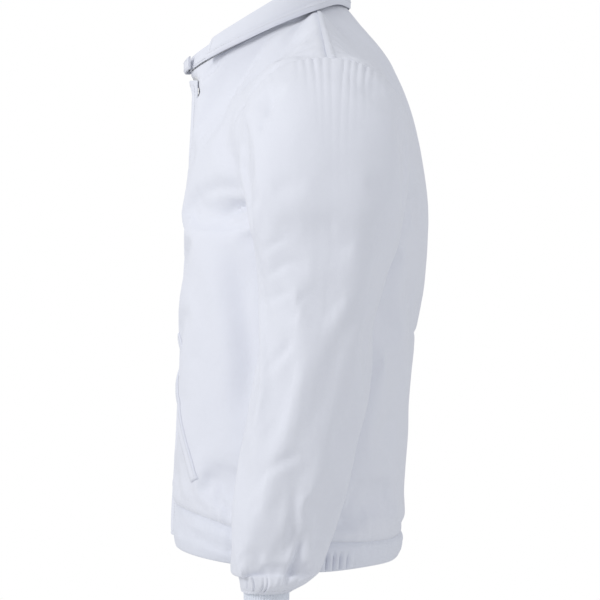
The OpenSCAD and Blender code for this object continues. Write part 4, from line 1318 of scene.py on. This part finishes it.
collar = {
    "frontHeight": 17, "backHeight": 38, "standEnd": 170, "lean": 2, "ply": 1, "plyGap": 0.2, "fallEnd": 132,
    # how the turned-down part runs over the stand: out, share of the height, rise
    "fallOuter": [[-5.6, 1, 3.0], [-3.2, 1.02, 4.2], [-0.4, 1.01, 4.0], [3.0, 0.93, 1.2], [6.0, 0.66, 0.6],
                  [8.6, 0.33, -0.2], [10.9, 0, -2.4]],
    "fallInner": [[-5.6, 1, 0.4], [-3.2, 1, 0.9], [-0.8, 1, 0.8], [1.2, 0.86, 0.2], [3.6, 0.6, 0],
                  [6.1, 0.3, -0.7], [8.3, 0, -2.8]],
    "edgeRoll": 0.9, "wave": 0.9, "stitchIn": 6.5, "drape": (0.7, 0.5, 2.2), "backPower": 1.6,
    "standRipple": 0.35, "tipFlare": 0.6, "tipDrop": 1.2,
    "tabFrom": 158, "tabTo": 201, "tabOut": 3.2, "tabThick": 2.6, "tabUp": 7.5, "tabHalf": 7.2,
    "tabTipFrom": 196.5, "tabTip": 4.6, "tabStitchAt": 0.62,
}


def collarHeight(phi):
    return mix(collar["frontHeight"], collar["backHeight"], ((1 + cosd(phi)) / 2) ** collar["backPower"])


def fallDrape(phi):
    # how much taller the turned-down part stands: everywhere, towards the front, at the nape
    everywhere, front, nape = collar["drape"]
    return everywhere + front * ease((np.abs(phi) - 72) / 35) + nape * ease((38 - np.abs(phi)) / 30)


def throughPoints(points, t):
    # a smooth line through all the points of a list, t from 0 to 1
    points = np.asarray(points, float)
    place = np.clip(t, 0, 1) * (len(points) - 1)
    i = np.clip(place.astype(int), 0, len(points) - 2)
    f = (place - i)[..., None]
    before, after = np.maximum(i - 1, 0), np.minimum(i + 2, len(points) - 1)
    return between(points[before], points[i], points[i + 1], points[after], f)


def fallGrid(profile, q, phi, puff):
    shape = throughPoints(profile, q)[:, None]
    out, share, rise = shape[..., 0], shape[..., 1], shape[..., 2]
    phis = phi[None] + 0 * out
    rise = rise * mix(fallDrape(phis), 1, np.clip(share / 0.25, 0, 1))
    hang = ease((q[:, None] - 0.45) / 0.55)
    wave = softNoise(point(phis / 16, q[:, None] * 2, 0), 1, 303) * collar["wave"] * hang
    tip = ease((np.abs(phis) - 112) / 20) * hang
    return neckPoint(phis, out + wave + puff + collar["tipFlare"] * tip,
                     collarHeight(phis) * share + rise - collar["tipDrop"] * tip)


def makeCollar():
    phi = collar["standEnd"] * (2 * closeEnds(210, 0.3) - 1)
    q = np.linspace(0, 1, 16)[:, None]
    plies = ((0, "collar_stand", "shell", "shell_cloth"), (1, "collar_interfacing", "tape", "tape"),
             (2, "collar_stand_lining", "lining", "shell_cloth"))
    for number, name, finish, slot in plies:
        depth = number * (collar["ply"] + collar["plyGap"])

        def plyGrid(extra):
            ripple = collar["standRipple"] * softNoise(point(phi[None] / 9, q * 1.5, 0), 1, 307)
            return neckPoint(phi[None] + 0 * q, -collar["lean"] * q - depth - extra + ripple,
                             mix(0.8, collarHeight(phi[None]), q))
        outer = plyGrid(0)
        # the stand's colour darkens towards its neck seam: painted shade and wear
        ply = addSlab(name + "_ply", outer, plyGrid(collar["ply"]), finish,
                      thread=np.stack([runLengths(outer, 1), runLengths(outer, 0)], -1),
                      shadeAndWear=bell((q + 0 * phi[None]) * 5), slot=slot, stands=(name,))
        if number == 0:
            low = neckPoint(phi, 0.35, 3.4)
            stitchAlong("jacket", low, unit(low - neckPoint(phi, -5, 3.4)))

    phi = collar["fallEnd"] * (2 * closeEnds(220, 0.35) - 1)
    q = closeEnds(58, 0.25)
    puff = 0.5 * np.sin(pi * q)[:, None] + 0.3 * softNoise(point(phi[None] / 6, q[:, None] * 4, 0), 1, 311)
    rolled = collar["edgeRoll"] * bell((1 - q[:, None]) / 0.05)
    ends = 0.7 * bell((collar["fallEnd"] - np.abs(phi[None])) / 1.5)
    groove = 0.5 * bell((q[:, None] - 0.86) / 0.02)
    outer = fallGrid(collar["fallOuter"], q, phi, puff - rolled - groove - ends)
    inner = fallGrid(collar["fallInner"], q, phi, rolled * 0.5 + ends)
    thread = np.stack([runLengths(outer, 1), runLengths(outer, 0)], -1)
    # the fall's colour darkens at its folded outer edge: painted shade and wear
    fall = addSlab("collar_fall_leaf", outer, inner, "shell", thread=thread,
                   shadeAndWear=bell((1 - q[:, None]) / 0.07) + 0 * phi[None], stands=("collar_fall",))
    surface = makeSurface(outer, unit(outer - inner), q, phi)
    stitchAlong("jacket", *besideEdge(surface, "top", collar["stitchIn"]))
    for edge in ("left", "right"):
        stitchAlong("jacket", *besideEdge(surface, edge, 5, 0.55, 0.9))

    phi = mix(collar["tabFrom"], collar["tabTo"], closeEnds(70, 0.4))
    rows = np.linspace(-1, 1, 26)
    r, a = np.meshgrid(rows, phi, indexing="ij")
    tip = np.sqrt(np.clip(1 - np.clip((a - collar["tabTipFrom"]) / collar["tabTip"], 0, 1) ** 2, 0.02, 1))
    up = collar["tabUp"] + r * collar["tabHalf"] * tip
    crown = 0.7 * (1 - r ** 4) - 0.3
    outer = neckPoint(a, collar["tabOut"] + collar["tabThick"] + crown - 0.6 * np.abs(r) ** 6, up)
    inner = neckPoint(a, collar["tabOut"] + 0 * r, up)
    # the tab's colour darkens at its edges: painted shade and wear
    tab = addSlab("collar_tab_leaf", outer, inner, "shell", thread=np.stack([a * 1.5, up], -1),
                  shadeAndWear=bell((1 - np.abs(r)) * 5), body="throat_tab", stands=("collar_tab",))
    for level in (-collar["tabStitchAt"], collar["tabStitchAt"]):
        place = neckPoint(phi[4:-9], collar["tabOut"] + collar["tabThick"] + 0.25,
                          collar["tabUp"] + level * collar["tabHalf"])
        stitchAlong("throat_tab", place, unit(place - neckPoint(phi[4:-9], 0, collar["tabUp"])))


makeCollar()
print("collar made")


# front closure, along the zip: x across, y forwards and back, z down the chain from its top end

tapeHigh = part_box("zip_tape_left")[1]
closure = {
    "length": 520, "chain": 3, "tape": 0.3, "pitch": 2.6, "tooth": 1.35, "top": -8, "bottom": -511,
    "flapEdge": 32, "flapFree": -28, "flapBack": 4.9, "flapThick": 2, "flapSewnIn": 5.0, "flapTopOut": 5.0,
    "flapTop": 9, "flapLow": -522,
    "guardHalf": 22, "guardFrom": 9.4, "guardThick": 1.0, "guardTop": -14, "guardLow": -514,
    "flapStitchIn": 5.2, "tapeStitchAt": 6.6,
}


def atZip(x, y, z):
    lean = radians(cut["zipLean"])
    top = cut["zipTop"]
    return point(x, y * np.cos(lean) + z * np.sin(lean) + top[1],
                 -y * np.sin(lean) + z * np.cos(lean) + top[2])


def makeZip():
    z = np.linspace(0, -closure["length"], 210)[:, None]
    x = np.linspace(closure["chain"] + 0.1, tapeHigh.x / mm, 12)[None]
    forward = atZip(0, -1, 0) - atZip(0, 0, 0)
    for side, hand in hands:
        bead = 0.25 * bell((x - 4) / 0.5)
        outer = atZip(side * x, -closure["tape"] - bead, z)
        inner = atZip(side * x, closure["tape"] + bead, z)
        addSlab("zip_tape_" + hand + "_weave", outer, inner, "tape",
                thread=np.stack(np.broadcast_arrays(x, z), -1), slot="tape", stands=("zip_tape_" + hand,))
        line = atZip(side * closure["tapeStitchAt"] + 0 * z[:, 0], -closure["tape"], z[:, 0])
        stitchAlong("jacket", line, np.tile(forward, (len(line), 1)))
        # one nylon element: a stem, a waist and a rounded head
        profile = np.array([[3.0, -0.75], [1.9, -0.6], [1.3, -0.85], [0.5, -0.8], [0.25, -0.4],
                            [0.25, 0.4], [0.5, 0.8], [1.3, 0.85], [1.9, 0.6], [3.0, 0.75]])
        levels = [(-closure["tooth"], 0.72), (-closure["tooth"] * 0.7, 1), (closure["tooth"] * 0.7, 1),
                  (closure["tooth"], 0.72)]
        count = int((closure["top"] - closure["bottom"]) / closure["pitch"]) - 1
        where = closure["top"] - 1.2 - (np.arange(count) + (0.5 if side < 0 else 0)) * closure["pitch"]
        parts = []
        for depth, scale in levels:
            centre = np.array([1.6, 0])
            for px, pz in (profile - centre) * scale + centre:
                parts.append(atZip(side * px + 0 * where, depth, pz + where))
        verts = np.stack(parts, 1)
        n = len(profile)
        single = np.concatenate([gridFaces(4, n, True)] + [
            base + np.array([[k, k + 1, n - 2 - k, n - 1 - k] for k in range(n // 2 - 1)])
            for base in (0, 3 * n)])
        faces = (single[None] + np.arange(count)[:, None, None] * 4 * n).reshape(-1, 4)
        addPiece("zip_teeth_" + hand + "_row", verts.reshape(-1, 3), faces, "zipPlastic", slot="zip_plastic",
                 stands=("zip_teeth_" + hand,), sharp=40)

    x, z = np.meshgrid(np.linspace(-1, 1, 40), np.linspace(closure["guardTop"], closure["guardLow"], 200))
    ripple = 0.35 * softNoise(point(x * 22, z, 0), (14, 40, 1), 401)
    outer = atZip(x * closure["guardHalf"], closure["guardFrom"] + ripple, z)
    inner = atZip(x * closure["guardHalf"], closure["guardFrom"] + closure["guardThick"] + ripple, z)
    # the guard's colour darkens at its edges: painted shade and wear
    guard = addSlab("zip_guard_strip", outer, inner, "lining", thread=np.stack([x * 22, z], -1),
                    shadeAndWear=bell((1 - np.abs(x)) * 8), slot="lining_cloth", stands=("zip_guard",))


def flapShape(x, z):
    # the flap's middle line, in front of the zip: it comes in to the front at its sewn edge
    c = closure
    settleIn = ease((x - (c["flapEdge"] - 11)) / 11)
    wave = 0.45 * softNoise(point(x, z, 0), (26, 60, 1), 411) * (1 - settleIn)
    leanOut = c["flapTopOut"] * ease((z + 10) / 20) * (1 - 0.9 * settleIn)
    return -c["flapBack"] - c["flapThick"] / 2 + c["flapSewnIn"] * settleIn + wave - leanOut


def makeFlap():
    c = closure
    x, z = np.meshgrid(mix(c["flapFree"], c["flapEdge"], closeEnds(64, 0.5)),
                       mix(c["flapTop"], c["flapLow"], closeEnds(230, 0.3)))
    edge = np.minimum.reduce([x - c["flapFree"], c["flapEdge"] - x, c["flapTop"] - z, z - c["flapLow"]])
    half = c["flapThick"] / 2 * np.sqrt(np.clip(edge / 1.2, 0.05, 1))
    puff = 0.55 * ease((edge - 6) / 6) + 0.35 * softNoise(point(x, z, 7), (11, 13, 1), 413) * ease(edge / 8)
    groove = 0.45 * bell((edge - c["flapStitchIn"]) / 0.9)
    middle = flapShape(x, z)
    outer = atZip(x, middle - half - puff + groove, z)
    inner = atZip(x, middle + half * 0.8, z)
    # the flap's colour darkens at its edges: painted shade and wear
    flap = addSlab("storm_flap_leaf", outer, inner, "shell", thread=np.stack([x, z], -1),
                   shadeAndWear=bell(edge / 2.5), body="flap", stands=("storm_flap",))
    forward = atZip(0, -1, 0) - atZip(0, 0, 0)

    def sew(px, pz):
        px, pz = np.broadcast_arrays(px, pz)
        line = atZip(px, flapShape(px, pz) - c["flapThick"] / 2 + 0.25, pz)
        stitchAlong("flap", line, np.tile(forward, (len(line), 1)))
    left, right = c["flapFree"] + c["flapStitchIn"], c["flapEdge"] - c["flapStitchIn"]
    top, low = c["flapTop"] - c["flapStitchIn"], c["flapLow"] + c["flapStitchIn"]
    for x in (left, right):
        sew(x, np.linspace(top, low, 160))
    for z in (top, low):
        sew(np.linspace(left, right, 30), z)


makeZip()
makeFlap()


metal = {"edge": 0.18, "segments": 2, "edgeAngle": 40}


def polishMetal():
    # the cast and pressed metal parts keep their own shape, with softened edges and a plated finish
    for name, finish in (("zip_slider", "zipMetal"), ("zip_pull", "zipMetal"), ("zip_stops", "zipMetal"),
                         ("flap_stud_sockets", "stud"), ("flap_stud_posts", "stud"),
                         ("collar_stud_cap", "stud"), ("collar_stud_post", "stud")):
        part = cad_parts[name]
        part.data.materials.clear()
        part.data.materials.append(finishes[finish])
        bevel = part.modifiers.new("softEdges", "BEVEL")
        bevel.width, bevel.segments, bevel.limit_method = metal["edge"] * mm, metal["segments"], "ANGLE"
        bevel.angle_limit = radians(metal["edgeAngle"])


polishMetal()
print("zip, flap and studs made")


# pockets

pocket = {"top": (70, -349), "low": (160, -512), "length": 176, "width": 14, "thick": 2.0,
          "bagIn": 11.6, "bagThick": 1.6, "bagWide": 95, "bagRipple": 0.5, "stitchAt": 0.63}


def frontPlace(x, z):
    # the row and column of the front panel at a place seen from the front
    t = (z - cut["bandSeamZ"]) / (cut["armholeFootZ"] - cut["bandSeamZ"])
    low, high = np.zeros_like(t), np.ones_like(t)
    for _ in range(16):  # halving the step each time
        middle = (low + high) / 2
        nearer = frontPoint(t, middle)[..., 0] < x
        low, high = np.where(nearer, middle, low), np.where(nearer, high, middle)
    return t, (low + high) / 2


def alongMouth(s, w):
    top, low = np.array(pocket["top"], float), np.array(pocket["low"], float)
    d = (low - top) / np.linalg.norm(low - top)
    return top[0] + d[0] * s - d[1] * w, top[1] + d[1] * s + d[0] * w


def makePockets():
    for hand in ("left", "right"):
        front = surfaces["front_" + hand]
        s, r = np.meshgrid(pocket["length"] * closeEnds(96, 0.4), np.linspace(-1, 1, 22))
        t, u = frontPlace(*alongMouth(s, r * pocket["width"] / 2))
        base, out = spotOn(front, t, u)
        edge = np.minimum((1 - np.abs(r)) * pocket["width"] / 2, np.minimum(s, pocket["length"] - s))
        rise = pocket["thick"] * np.sqrt(np.clip(edge / 1.4, 0.06, 1)) + 0.5 * ease(edge / 7)
        rise = rise - 0.4 * bell((edge - 2.6) / 0.7)
        outer, inner = base + out * (rise + 0.2)[..., None], base + out * 0.15
        # the welt's colour darkens at its edges: painted shade and wear
        welt = addSlab("pocket_welt_" + hand + "_strip", outer, inner, "shell",
                       thread=np.stack([s, r * 7], -1), shadeAndWear=bell(edge / 2), stands=("pocket_welt_" + hand,))
        for level in (-pocket["stitchAt"], pocket["stitchAt"]):
            line = np.linspace(3, pocket["length"] - 3, 90)
            t, u = frontPlace(*alongMouth(line, level * pocket["width"] / 2 + 0 * line))
            p, out = spotOn(front, t, u)
            stitchAlong("jacket", p + out * (pocket["thick"] + 0.1), out)

        s, w = np.meshgrid(np.linspace(4, pocket["length"] - 4, 60), np.linspace(-pocket["bagWide"], 8, 48))
        x, z = alongMouth(s, w)
        t, u = frontPlace(np.maximum(x, 24), np.maximum(z, cut["bandSeamZ"] + 6))
        base, out = spotOn(front, t, u)
        ripple = pocket["bagRipple"] * softNoise(point(s, w, 0), (22, 30, 1), 421)[..., None]
        depth = pocket["bagIn"] + ripple
        bag = addSlab("pocket_bag_" + hand + "_cloth", base - out * depth,
                      base - out * (depth + pocket["bagThick"]), "lining",
                      thread=np.stack([s, w], -1), slot="lining_cloth", stands=("pocket_bag_" + hand,))


makePockets()
print("pockets made")


# inside the neck

loopLow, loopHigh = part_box("hanger_loop")
labelLow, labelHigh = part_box("neck_label")


neckTrim = {"loopWide": 5, "labelCurl": 0.25, "labelHem": 3.5, "labelStitchIn": 2}


def makeNeckTrim():
    # the loop's tape runs round a half circle, its two ends sewn in at the neck seam
    radius, wide = (loopHigh.x - loopLow.x) / 2 / mm, neckTrim["loopWide"]
    turn, r = np.meshgrid(np.linspace(0, pi, 90), np.linspace(-1, 1, 12), indexing="ij")
    mid = radius - wide / 2
    x, z = np.cos(turn) * (mid + r * wide / 2), loopHigh.z / mm - np.sin(turn) * (mid + r * wide / 2)
    thick = (loopHigh.y - loopLow.y) / 2 / mm * (1 - 0.35 * r ** 6)
    y = (loopLow.y + loopHigh.y) / 2 / mm
    # the loop's colour darkens at its edges: painted shade and wear
    addSlab("hanger_loop_tape", point(x, y - thick, z), point(x, y + thick, z), "tape",
            thread=np.stack([turn * mid, r * wide / 2], -1), shadeAndWear=bell((1 - np.abs(r)) * 4),
            body="loop", slot="tape", stands=("hanger_loop",), sharp=70)
    low, high = labelLow / mm, labelHigh / mm
    x, z = np.meshgrid(np.linspace(low.x, high.x, 40), np.linspace(low.z, high.z, 40))
    edge = np.minimum(np.minimum(x - low.x, high.x - x), np.minimum(z - low.z, high.z - z))
    curl = neckTrim["labelCurl"] * softNoise(point(x, z, 0), (12, 12, 1), 431)
    hem = 0.25 * (1 - ease((edge - neckTrim["labelHem"]) / 0.8))
    # the label's colour darkens at its edges: painted shade and wear
    label = addSlab("neck_label_patch", point(x, low.y - hem - curl, z), point(x, high.y - curl, z), "tape",
                    thread=np.stack([x, z], -1), shadeAndWear=bell(edge / 2), slot="tape", stands=("neck_label",))
    stitchIn = neckTrim["labelStitchIn"]
    row = np.linspace(low.x + stitchIn, high.x - stitchIn, 20)
    for level in (low.z + stitchIn, high.z - stitchIn):
        line = point(row, low.y - 0.5, level)
        stitchAlong("jacket", line, np.tile([0.0, -1.0, 0.0], (len(line), 1)))


makeNeckTrim()
sewThread()
print("stitches sewn:", sum(len(line) for lines in stitchLines.values() for line in lines))


def makeFloor():
    mesh = bpy.data.meshes.new("floor")
    tool = bmesh.new()
    bmesh.ops.create_circle(tool, cap_ends=True, radius=studio["floorRadius"], segments=96)
    tool.to_mesh(mesh)
    tool.free()
    floor = bpy.data.objects.new("floor", mesh)
    floor.location.z = studio["floorZ"]
    mesh.materials.append(finishes["floor"])
    bpy.context.scene.collection.objects.link(floor)


makeFloor()
print("jacket finished")
